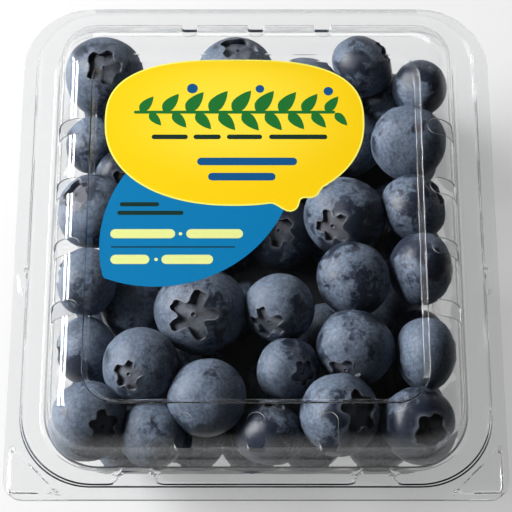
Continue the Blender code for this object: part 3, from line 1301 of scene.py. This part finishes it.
    def bars(self) -> list[Bar]:
        """The bars that stand for the lines of print."""
        dark, navy, cream = InkName.DARK, InkName.NAVY, InkName.CREAM
        rows = [(-19.6, 20.9, 8.2), (-11.1, 20.9, 6.2), (-2.6, 20.9, 8.0), (9.6, 20.9, 13.2)]
        bars = [Bar(x, y, length, 1.15, dark) for x, y, length in rows]
        bars += [Bar(-2.0, 14.7, 22.6, 1.9, navy), Bar(-3.2, 10.9, 15.2, 1.9, navy)]
        bars += [Bar(-26.1, 4.1, 8.8, 1.0, InkName.DARK), Bar(-23.6, 2.0, 14.8, 1.0, InkName.DARK)]
        bars += [Bar(-25.2, -3.1, 14.4, 2.2, cream), Bar(-9.2, -3.1, 12.6, 2.2, cream)]
        bars += [Bar(-16.8, -3.1, 0.8, 0.8, cream), Bar(-22.1, -9.3, 0.8, 0.8, cream)]
        bars += [Bar(-18.4, -6.3, 27.6, 0.3, InkName.DARK)]
        bars += [Bar(-27.9, -9.3, 8.6, 2.2, cream), Bar(-15.2, -9.3, 11.4, 2.2, cream)]
        return bars

    def sprig(self, low: float, inks: dict) -> list[bpy.types.Object]:
        """Model the leaf sprig across the oval: a stem, pairs of leaves and three round fruits."""
        green, blue = inks[InkName.GREEN], inks[InkName.NAVY]
        marks = [self.draw_bar(Bar(-4.9, 27.2, 46.0, 0.75, InkName.GREEN), low, green)]
        pairs = 9
        for pair in range(pairs):
            x = -26.5 + 5.3 * pair
            length = 6.8 - 0.12 * (pair - pairs // 2) ** 2
            marks.append(self.draw_leaf(x, 27.4, length, 52.0, low, green))
            marks.append(self.draw_leaf(x + 2.2, 27.0, length * 0.86, -50.0, low, green))
        for x, y, radius in ((-14.6, 33.3, 1.25), (0.9, 33.2, 1.0), (16.6, 32.6, 1.1)):
            marks.append(self.draw_bar(Bar(x, y, 2 * radius, 2 * radius, InkName.NAVY), low, blue))
        return marks

    def build(self, inks: dict) -> None:
        """Model the two fields and the print on them, and hang them on the cover.

        Args:
            inks: The materials by ink name.
        """
        low = self.size.label_low - self.drop
        lobe = self.draw_field("label_lobe", self.lobe_outline(), low, [inks[InkName.BLUE]])
        settle(lobe, "cover")
        lobe.visible_shadow = False
        oval_inks = [inks[InkName.YELLOW], inks[InkName.PALE]]
        oval = self.draw_field("label_oval", self.oval_outline(), low + self.film, oval_inks)
        settle(oval, "cover")
        oval.visible_shadow = False
        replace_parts(oval, "label")
        on_oval, on_lobe = low + 2 * self.film, low + self.film
        marks = self.sprig(on_oval, inks)
        for bar in self.bars():
            height = on_oval if bar.y > 6.0 else on_lobe
            marks.append(self.draw_bar(bar, height, inks[bar.ink]))
        print_marks = name_piece(join(marks), "label_marks")
        settle(print_marks, "cover")
        print_marks.visible_shadow = False


# ---------------------------------------------------------------------------------------------
# Fruit
# ---------------------------------------------------------------------------------------------


@dataclass(frozen=True)
class Berry:
    """One berry: its middle and radius, where its crown points, its bloom and how flat it is."""

    x: float
    y: float
    z: float
    radius: float
    crown: tuple[float, float, float] = (0.3, 0.2, -0.9)
    bloom: float = 0.6
    flat: float = 0.87
    opening: float = 0.36
    star: float = 0.17
    held: bool = True


@dataclass(frozen=True)
class BerryShape:
    """The surface of one berry as rows of points round its crown's axis, for a radius of one."""

    around: int = 50
    rows: int = 26
    fullness: float = 2.2
    scar: tuple[tuple[float, float], ...] = ((0.0, -0.03), (0.03, -0.03), (0.055, 0.016), (0.095, 0.0))
    crown_rows: tuple[tuple[float, float], ...] = ((0.5, 0.15), (0.8, 0.6), (0.95, 1.0))
    lip_rows: tuple[tuple[float, float], ...] = ((1.0, 0.85), (1.055, 1.0), (1.15, 0.3), (1.34, 0.0))
    body_start: float = 0.68

    def template(self) -> bpy.types.Object:
        """Add the ball that every berry's faces come from."""
        bpy.ops.mesh.primitive_uv_sphere_add(segments=self.around, ring_count=self.rows, radius=1.0)
        return bpy.context.active_object

    def grid(self, ball: bpy.types.Object) -> tuple[np.ndarray, np.ndarray]:
        """The row and the angle of each of the ball's points."""
        points = np.array([vertex.co for vertex in ball.data.vertices])
        rows = np.rint(np.arccos(np.clip(points[:, 2], -1, 1)) / math.pi * self.rows).astype(int)
        return rows, np.arctan2(points[:, 1], points[:, 0])

    def dome(self, out: np.ndarray, flat: float) -> np.ndarray:
        """Height of the berry's upper surface at a distance from its axis."""
        return flat * np.maximum(1 - out**self.fullness, 0) ** (1 / self.fullness)

    def surface(
        self, rows: np.ndarray, angles: np.ndarray, berry: Berry, chance: random.Random
    ) -> tuple[np.ndarray, np.ndarray, np.ndarray]:
        """Place every point of one berry, its crown up.

        Args:
            rows: Each point's row, from the crown's middle down.
            angles: Each point's angle round the axis.
            berry: The berry.
            chance: The source of its small differences.

        Returns:
            The points and the masks of the crown's inside and of its lip.
        """
        lobes = 6 if chance.random() < 0.12 else 5
        spread = berry.star * chance.uniform(0.85, 1.15)
        depth = chance.uniform(0.09, 0.14)
        lip = chance.uniform(0.015, 0.04)
        turn = chance.uniform(0, 2 * math.pi)
        reaches = np.array([chance.uniform(0.82, 1.14) for _ in range(lobes)])
        arm = np.rint((angles * lobes + turn) / (2 * math.pi)).astype(int) % lobes
        swing = angles * lobes + turn + 0.5 * np.sin(angles * 2 + turn * 3)
        wave = np.tanh(1.9 * (np.cos(swing) + 0.25)) / math.tanh(1.9)
        star = berry.opening * (1 + spread * wave * np.where(wave > 0, reaches[arm], 1.0))
        ragged = [noise.noise(Vector((math.cos(a) * 4, math.sin(a) * 4, turn * 9))) for a in angles]
        star = star * (1 + 0.12 * np.array(ragged))
        out, high = np.zeros(len(rows)), np.zeros(len(rows))
        inside, rim = np.zeros(len(rows)), np.zeros(len(rows))
        edge = self.dome(star, berry.flat)
        floor = edge.mean() - depth * 0.62
        steps = [(share, floor + rise, 0.0) for share, rise in self.scar]
        for row, (reach, height, _) in enumerate(steps):
            at = rows == row
            out[at], high[at], inside[at] = reach, height, 0.8
        row = len(steps)
        for share, sink in self.crown_rows:
            at = rows == row
            out[at] = star[at] * share
            high[at] = floor - sink * depth * (0.12 + 0.5 * np.maximum(wave[at], 0))
            inside[at] = 1.0
            row += 1
        for share, rise in self.lip_rows:
            at = rows == row
            out[at] = star[at] * share
            if share > 1.3:
                out[at] = out[at] * 0.55 + self.body_start * 0.85 * 0.45
            high[at] = self.dome(out[at], berry.flat) + rise * lip * (0.7 - 0.5 * wave[at])
            rim[at] = rise
            inside[at] = 0.5 if share == 1.0 else 0.0
            row += 1
        first = math.asin(self.body_start ** (self.fullness / 2))
        left = self.rows - row
        for step in range(left + 1):
            at = rows == row + step
            angle = first + (math.pi - first) * step / left
            reach = max(math.sin(angle), 0.0) ** (2 / self.fullness)
            height = math.copysign(abs(math.cos(angle)) ** (2 / self.fullness), math.cos(angle))
            out[at] = reach
            high[at] = height * berry.flat + 0.04 * math.exp(-((reach / 0.16) ** 2)) * (height < 0)
        oval = chance.uniform(-0.035, 0.035)
        points = np.column_stack([out * np.cos(angles) * (1 + oval), out * np.sin(angles) * (1 - oval), high])
        seed = chance.uniform(0, 50)
        for place, point in enumerate(points):
            at = Vector(point) + Vector((seed, 0, 0))
            swell = 1 + 0.045 * noise.noise(at * 1.2) + 0.012 * noise.noise(at * 3.5)
            points[place] = point * swell
        return points, inside, rim


# Berries whose place shows from above, from the hinge side to the front, each with its middle,
# its radius, the way its crown points, its bloom, how flat it is and how wide its crown opens.
UPPER_BERRIES = (
    Berry(-36.0, 42.0, 27.2, 9.4, (0.07, -0.2, 0.98), 0.8, opening=0.4, star=0.14),
    Berry(-4.8, 42.6, 27.8, 9.0, (0.1, 0.4, 0.91), 0.7, opening=0.42),
    Berry(26.0, 42.9, 28.8, 7.4, (0.8, 0.36, 0.48), 0.5),
    Berry(31.5, 39.5, 19.0, 7.8, (0.4, 0.6, -0.6), 0.1),
    Berry(37.5, 38.0, 25.5, 6.6, (0.5, 0.2, -0.8), 0.32),
    Berry(35.3, 25.2, 27.7, 8.8, (0.3, 0.6, -0.7), 0.72),
    Berry(22.5, 27.6, 21.5, 8.2, (0.3, 0.6, -0.7), 0.16),
    Berry(20.3, 4.9, 27.2, 9.3, (-0.43, -0.62, 0.66), 0.5, opening=0.36, star=0.22),
    Berry(36.0, 6.8, 28.6, 7.8, (0.78, 0.3, 0.55), 0.62, opening=0.42),
    Berry(36.4, -7.4, 27.6, 8.5, (0.95, 0.1, -0.2), 0.72, 0.8),
    Berry(6.2, 4.6, 20.0, 8.4, (-0.1, -0.3, 0.94), 0.2),
    Berry(5.3, -17.4, 28.2, 8.0, (-0.42, -0.76, 0.5), 0.76, opening=0.4, star=0.24),
    Berry(22.6, -9.8, 27.8, 8.5, (0.2, 0.3, -0.9), 0.52),
    Berry(22.6, -26.3, 27.5, 8.8, (-0.35, -0.88, 0.3), 0.66),
    Berry(38.2, -28.0, 28.2, 8.3, (0.97, 0.1, -0.1), 0.74, 0.78),
    Berry(7.1, -30.8, 25.5, 7.2, (0.56, -0.38, 0.73), 0.36, opening=0.36, star=0.2),
    Berry(18.4, -41.6, 27.2, 9.0, (0.56, -0.15, 0.81), 0.62, opening=0.45),
    Berry(3.0, -45.2, 24.0, 7.6, (0.1, 0.85, 0.5), 0.42),
    Berry(36.2, -45.0, 26.8, 8.4, (0.32, -0.48, 0.81), 0.42, opening=0.45, star=0.1),
    Berry(-12.8, -17.3, 26.3, 10.2, (-0.2, -0.44, 0.88), 0.76, opening=0.42, star=0.28),
    Berry(-28.6, -15.0, 22.0, 7.9, (-0.2, 0.5, -0.8), 0.7),
    Berry(-26.2, -30.5, 27.5, 8.6, (-0.35, -0.55, 0.76), 0.86, opening=0.33, star=0.24),
    Berry(-11.4, -38.6, 27.6, 8.7, (0.1, 0.4, -0.9), 0.88),
    Berry(-37.2, -44.6, 25.5, 8.8, (0.52, -0.4, 0.75), 0.8, opening=0.36),
    Berry(-38.6, 6.6, 27.9, 8.7, (-0.5, 0.25, 0.83), 0.72, opening=0.36),
    Berry(-38.6, 27.4, 20.0, 7.0, (0.2, 0.1, -0.9), 0.6),
    Berry(-31.4, 18.6, 21.5, 6.4, (0.1, -0.6, 0.78), 0.45),
    Berry(-39.3, -10.5, 26.0, 7.8, (-0.9, 0.1, 0.2), 0.8),
    Berry(-37.4, -26.6, 25.0, 7.8, (-0.9, -0.2, 0.2), 0.7),
    Berry(-23.2, -46.0, 23.5, 7.4, (0.1, 0.2, -0.9), 0.72),
)

# Berries of the lowest layer along the tray's walls, front to back, staggered in height.
LOWER_BERRIES = (
    Berry(-38.5, -41.0, 9.2, 7.3, (0.1, -0.9, 0.3), 0.6, held=False),
    Berry(-30.0, -43.5, 13.5, 7.4, (0.5, 0.3, -0.6), 0.5),
    Berry(-14.5, -43.5, 14.5, 7.5, (-0.3, -0.9, -0.2), 0.65),
    Berry(-1.0, -43.5, 10.0, 7.4, (-0.4, 0.3, -0.6), 0.45, held=False),
    Berry(12.5, -43.5, 14.5, 7.4, (0.3, -0.9, 0.2), 0.55),
    Berry(28.0, -43.5, 13.5, 7.5, (0.4, -0.2, -0.8), 0.6),
    Berry(39.0, -41.0, 9.2, 7.2, (0.3, 0.9, 0.2), 0.5, held=False),
    Berry(-36.5, -28.0, 10.5, 7.8, (-0.9, 0.2, 0.3), 0.7, held=False),
    Berry(-37.0, -13.0, 12.5, 7.6, (0.2, 0.5, -0.8), 0.5, held=False),
    Berry(-36.5, 2.0, 9.4, 8.0, (-0.8, -0.5, -0.2), 0.8, held=False),
    Berry(-37.0, 16.0, 11.5, 7.3, (0.3, 0.4, -0.8), 0.6, held=False),
    Berry(-36.5, 29.5, 9.3, 7.7, (-0.9, 0.3, 0.1), 0.45, held=False),
    Berry(36.5, -27.0, 12.0, 7.6, (0.9, -0.3, 0.2), 0.6, held=False),
    Berry(36.5, -12.5, 9.4, 7.9, (0.2, -0.6, -0.7), 0.75, held=False),
    Berry(37.0, 2.0, 12.0, 7.4, (0.8, 0.5, -0.1), 0.5, held=False),
    Berry(36.5, 16.0, 9.6, 7.8, (0.1, 0.2, -0.9), 0.65, held=False),
    Berry(37.0, 30.0, 11.0, 7.3, (0.9, 0.1, 0.3), 0.7, held=False),
    Berry(-36.5, 42.0, 11.5, 7.3, (-0.4, 0.8, 0.3), 0.55, held=False),
    Berry(-23.0, 43.0, 9.3, 7.8, (0.2, -0.5, -0.8), 0.7, held=False),
    Berry(-8.5, 43.5, 11.5, 7.4, (0.1, 0.9, -0.2), 0.8, held=False),
    Berry(5.5, 42.5, 9.2, 7.5, (-0.3, 0.3, -0.9), 0.5, held=False),
    Berry(20.0, 43.0, 11.0, 7.6, (0.2, 0.9, 0.3), 0.6, held=False),
    Berry(34.5, 42.5, 9.4, 7.7, (0.5, 0.2, -0.8), 0.65, held=False),
)


@dataclass
class BerryHeap:
    """The loose fruit: berries placed one by one where they show, and others that fill in."""

    size: PackSize
    shape: BerryShape = field(default_factory=BerryShape)
    seed: int = 11
    layers: tuple[float, ...] = (27.6, 18.5, 10.2)
    radii: tuple[float, float] = (7.4, 9.0)
    tries: int = 900
    most: int = 78
    closeness: float = 0.94
    sheet: float = 0.4
    clearances: tuple[tuple[float, float, float], ...] = (
        (1.7, 9.5, 8.0),
        (6.0, 12.4, 12.2),
        (24.6, 8.7, 8.3),
        (33.0, 9.9, 9.5),
    )
    top: float = 36.75
    core_levels: tuple[float, float] = (3.0, 14.0)
    core_fit_height: float = 4.0
    core_inset: tuple[float, float] = (9.5, 9.0)
    core_round: float = 4.5
    core_lumps: float = 3.0
    core_shrink: float = 1.2

    def room(self, height: float) -> tuple[float, float]:
        """Half width and half length of the space inside the pack at a height."""
        heights = [row[0] for row in self.clearances]
        side = np.interp(height, heights, [row[1] for row in self.clearances])
        end = np.interp(height, heights, [row[2] for row in self.clearances])
        return self.size.half_width - side, self.size.half_length - end

    def keep_inside(self, places: np.ndarray, radii: np.ndarray) -> np.ndarray:
        """Move berries back inside the pack's walls, floor and lid."""
        inside = places.copy()
        inside[:, 2] = np.clip(inside[:, 2], 1.9 + radii * 0.95, self.top - radii)
        for index, (x, y, z) in enumerate(inside):
            half_x, half_y = self.room(z)
            half_x, half_y = half_x - radii[index] * 0.97, half_y - radii[index] * 0.97
            x, y = max(-half_x, min(half_x, x)), max(-half_y, min(half_y, y))
            over_x, over_y = abs(x) - (half_x - 3.5), abs(y) - (half_y - 3.5)
            if over_x > 0 and over_y > 0 and math.hypot(over_x, over_y) > 3.5:
                pull = 3.5 / math.hypot(over_x, over_y)
                x = math.copysign(half_x - 3.5 + over_x * pull, x)
                y = math.copysign(half_y - 3.5 + over_y * pull, y)
            inside[index, :2] = x, y
        return inside

    def fill(self) -> list[Berry]:
        """Lay further berries wherever there is room for them."""
        chance = random.Random(self.seed)
        berries = list(UPPER_BERRIES + LOWER_BERRIES)
        for layer in self.layers:
            for _ in range(self.tries):
                radius = chance.uniform(*self.radii)
                half_x, half_y = self.room(layer)
                place = Vector(
                    (
                        chance.uniform(-1, 1) * (half_x - radius),
                        chance.uniform(-1, 1) * (half_y - radius),
                        layer + chance.uniform(-1.2, 1.2),
                    )
                )
                gaps = [
                    (place - Vector((other.x, other.y, other.z))).length - 0.9 * (radius + other.radius)
                    for other in berries
                ]
                if min(gaps) < 0 or len(berries) >= self.most:
                    continue
                crown = Vector((chance.gauss(0, 1), chance.gauss(0, 1), chance.gauss(0, 1))).normalized()
                berries.append(
                    Berry(
                        *place,
                        radius,
                        tuple(crown),
                        chance.uniform(0.35, 0.9),
                        chance.uniform(0.82, 0.92),
                        chance.uniform(0.3, 0.42),
                        chance.uniform(0.12, 0.26),
                        held=False,
                    )
                )
        return berries

    def rest(self, berries: Sequence[Berry], rounds: int = 140) -> np.ndarray:
        """Push berries apart until they only touch, keeping the placed ones in view.

        Args:
            berries: The berries.
            rounds: How often they are pushed.

        Returns:
            Their middles.
        """
        anchors = np.array([(berry.x, berry.y, berry.z) for berry in berries])
        radii = np.array([berry.radius for berry in berries])
        held = np.array([berry.held for berry in berries])
        give = np.where(held, 0.35, 1.0)
        sight = np.array((0.0, -0.39, 0.92))
        places = anchors.copy()
        for _ in range(rounds):
            gap = places[:, None, :] - places[None, :, :]
            distance = np.linalg.norm(gap, axis=2) + np.eye(len(berries)) * 1e3
            overlap = np.maximum(self.closeness * (radii[:, None] + radii[None, :]) - distance, 0)
            share = give[:, None] / (give[:, None] + give[None, :])
            push = (gap / distance[:, :, None]) * (overlap * share)[:, :, None]
            places = places + push.sum(axis=1) * 0.7
            back = anchors - places
            back -= np.outer(back @ sight, sight) * 0.8
            places = places + np.where(held[:, None], back * 0.2, 0.0)
            places[~held, 2] -= 0.02
            places = self.keep_inside(places, radii)
        gap = places[:, None, :] - places[None, :, :]
        distance = np.linalg.norm(gap, axis=2) + np.eye(len(berries)) * 1e3
        deepest = (self.closeness * (radii[:, None] + radii[None, :]) - distance).max()
        LOG.info("%d berries, deepest overlap %.2f mm", len(berries), deepest)
        return places

    def build(self, finish: bpy.types.Material) -> tuple[bpy.types.Object, np.ndarray, np.ndarray]:
        """Model all the berries as one mesh and hang it on the base.

        Args:
            finish: The skin's material.

        Returns:
            The piece, and the berries' middles and radii.
        """
        berries = self.fill()
        places = self.rest(berries)
        ball = self.shape.template()
        rows, angles = self.shape.grid(ball)
        faces = [tuple(face.vertices) for face in ball.data.polygons]
        chance = random.Random(self.seed + 1)
        points, polygons = [], []
        masks = {"seed": [], "bloom": [], "crown": [], "lip": []}
        for index, (berry, place) in enumerate(zip(berries, places)):
            form, inside, rim = self.shape.surface(rows, angles, berry, chance)
            turn = Vector(berry.crown).to_track_quat("Z", "Y").to_matrix()
            spin = Matrix.Rotation(chance.uniform(0, 2 * math.pi), 3, "Z")
            form = form @ np.array(turn @ spin).T * berry.radius + place
            polygons += [tuple(corner + index * len(rows) for corner in face) for face in faces]
            points.append(form)
            masks["seed"].append(np.full(len(rows), index * 3.7))
            masks["bloom"].append(np.full(len(rows), berry.bloom))
            masks["crown"].append(inside)
            masks["lip"].append(rim)
        mesh = bpy.data.meshes.new("berries_loose")
        mesh.from_pydata(np.concatenate(points).tolist(), [], polygons)
        for name, values in masks.items():
            attribute = mesh.attributes.new(name, "FLOAT", "POINT")
            attribute.data.foreach_set("value", np.concatenate(values).astype(np.float32))
        bpy.data.objects.remove(ball)
        heap = bpy.data.objects.new("berries_loose", mesh)
        bpy.context.scene.collection.objects.link(heap)
        mesh.materials.append(finish)
        settle(heap, "base", smooth_angle=70.0)
        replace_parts(heap, "berries")
        return heap, places, np.array([berry.radius for berry in berries])

    def build_core(self, finish: bpy.types.Material) -> bpy.types.Object:
        """Model the dark body inside the heap, which fills the gaps between inner berries with painted shade.

        Args:
            finish: The core's material.

        Returns:
            The finished piece.
        """
        low, high = self.core_levels
        half_x, half_y = self.room(self.core_fit_height)
        inset_x, inset_y = self.core_inset
        bpy.ops.mesh.primitive_cube_add(size=1.0, location=(0.0, 0.0, (low + high) / 2))
        core = name_piece(bpy.context.active_object, "berry_core")
        core.scale = (2 * (half_x - inset_x), 2 * (half_y - inset_y), high - low)
        drop_place(core)
        edit(core, Mode.EDGE)
        bpy.ops.mesh.select_all(action="SELECT")
        bpy.ops.mesh.bevel(offset=self.core_round, segments=4, affect="EDGES")
        bpy.ops.mesh.select_all(action="SELECT")
        bpy.ops.mesh.subdivide(number_cuts=7)
        leave_edit()
        for vertex in core.data.vertices:
            lump = noise.noise(vertex.co * 0.11)
            vertex.co += vertex.normal * (lump * self.core_lumps - self.core_shrink)
        core.data.materials.append(finish)
        settle(core, "base", smooth_angle=70.0)
        return core


# ---------------------------------------------------------------------------------------------
# Studio
# ---------------------------------------------------------------------------------------------


@dataclass(frozen=True)
class Softbox:
    """A rectangular lamp aimed at the pack."""

    name: str
    place: tuple[float, float, float]
    size: tuple[float, float]
    power: float

    def build(self) -> bpy.types.Object:
        """Add the lamp."""
        lamp = bpy.data.lights.new(self.name, "AREA")
        lamp.shape = "RECTANGLE"
        lamp.size, lamp.size_y = self.size
        lamp.energy = self.power
        thing = bpy.data.objects.new(self.name, lamp)
        thing.location = self.place
        thing.rotation_euler = (Vector((0, 0, 0.02)) - thing.location).to_track_quat("-Z", "Y").to_euler()
        bpy.context.scene.collection.objects.link(thing)
        return thing


@dataclass
class Studio:
    """Floor, lamps, surroundings and camera."""

    floor_size: float = 6.0
    camera_place: tuple[float, float, float] = (0.0, -0.1754, 0.4307)
    camera_tilt: float = 23.0
    lens: float = 135.7
    lamps: tuple[Softbox, ...] = (
        Softbox("high_strip", (-0.72, 0.2, 0.56), (0.62, 0.14), 8.5),
        Softbox("low_strip", (-0.84, 0.22, 0.34), (0.62, 0.14), 9.5),
        Softbox("back_softbox", (0.1, 0.95, 0.42), (0.9, 0.25), 2.0),
    )

    def build_floor(self, finish: bpy.types.Material) -> None:
        """Lay the floor."""
        bpy.ops.mesh.primitive_plane_add(size=self.floor_size, location=(0.0, 0.0, 0.0))
        floor = name_piece(bpy.context.active_object, "studio_floor")
        floor.data.materials.append(finish)

    def build_world(self) -> None:
        """Surround the pack with pale walls that are darker overhead and to the right."""
        world = bpy.data.worlds.new("studio")
        bpy.context.scene.world = world
        world.use_nodes = True
        board = Board(world.node_tree)
        output = board.node("ShaderNodeOutputWorld")
        way = board.node("ShaderNodeTexCoord").outputs["Generated"]
        parts = board.node("ShaderNodeSeparateXYZ", Vector=way)
        overhead = board.span(parts.outputs["Z"], 0.02, 0.5, 0.55, 0.02)
        leftward = board.span(parts.outputs["X"], -0.9, 0.9, 1.0, 0.45)
        strength = board.math("MULTIPLY", overhead, leftward)
        sky = board.node("ShaderNodeBackground", Color=(1.0, 1.0, 1.0, 1.0), Strength=strength)
        board.tree.links.new(sky.outputs[0], output.inputs["Surface"])

    def build_camera(self) -> None:
        """Set the camera."""
        lens = bpy.data.cameras.new("camera")
        lens.lens = self.lens
        lens.sensor_width = 36.0
        lens.clip_start, lens.clip_end = 0.01, 20.0
        camera = bpy.data.objects.new("camera", lens)
        camera.location = self.camera_place
        camera.rotation_euler = (math.radians(self.camera_tilt), 0.0, 0.0)
        bpy.context.scene.collection.objects.link(camera)
        bpy.context.scene.camera = camera

    def set_view(self) -> None:
        """Set the colour view and how often light passes clear sheets."""
        scene = bpy.context.scene
        scene.view_settings.view_transform = "Standard"
        scene.cycles.max_bounces = 16
        scene.cycles.transmission_bounces = 14
        scene.cycles.glossy_bounces = 6
        scene.cycles.transparent_max_bounces = 24
        scene.cycles.caustics_reflective = False
        scene.cycles.caustics_refractive = False

    def build(self, finish: bpy.types.Material) -> None:
        """Set up the whole studio."""
        self.build_floor(finish)
        self.build_world()
        self.build_camera()
        self.set_view()
        for lamp in self.lamps:
            lamp.build()


# ---------------------------------------------------------------------------------------------


def build_inks(effects: Effects, label: Label) -> dict:
    """Make the label's materials.

    Args:
        effects: The shared node groups.
        label: The label, for the place of its oval.

    Returns:
        The materials by ink name.
    """
    yellow = GlowingInk(
        InkName.YELLOW.value,
        middle=(1.0, 0.78, 0.045),
        edge=(1.0, 0.655, 0.002),
        centre=(label.oval_centre[0], label.oval_centre[1] + 2.0),
        reach=(30.0, 19.0),
    )
    flat = (
        Ink(InkName.PALE.value, (1.0, 0.95, 0.16)),
        Ink(InkName.BLUE.value, (0.0, 0.195, 0.45)),
        Ink(InkName.GREEN.value, (0.012, 0.17, 0.028)),
        Ink(InkName.DARK.value, (0.006, 0.03, 0.02)),
        Ink(InkName.NAVY.value, (0.004, 0.09, 0.26)),
        Ink(InkName.CREAM.value, (0.83, 0.9, 0.32)),
    )
    inks = {InkName.YELLOW: yellow.build(effects)}
    for ink in flat:
        inks[InkName(ink.name)] = ink.build(effects)
    return inks


def main() -> None:
    """Build every piece in order."""
    logging.basicConfig(level=logging.INFO, format="%(name)s: %(message)s")
    clear_selection()
    size = PackSize.from_frame()
    effects = Effects.build()
    studio = Studio()
    studio.build(StudioFloor("pale_floor").build(effects))

    sheet = ClearSheet("clear_sheet").build()
    # the vents' cut faces are painted pale grey as a highlight
    cut = GlintCutEdge("cut_edge_painted_glint").build(effects)
    Tray("tray_sheet", size, finish=sheet, cut_finish=cut).build()
    Lid("lid_sheet", size, finish=sheet, cut_finish=cut).build()
    Fold(size).build(sheet)

    label = Label(size)
    label.build(build_inks(effects, label))

    heap = BerryHeap(size)
    heap.build(FruitSkin("berry_skin").build(effects))
    # the core's near-black finish is painted shade between the inner berries
    heap.build_core(ShadeFillFruit("painted_shade_fruit").build(effects))


if __name__ == "__main__":
    main()
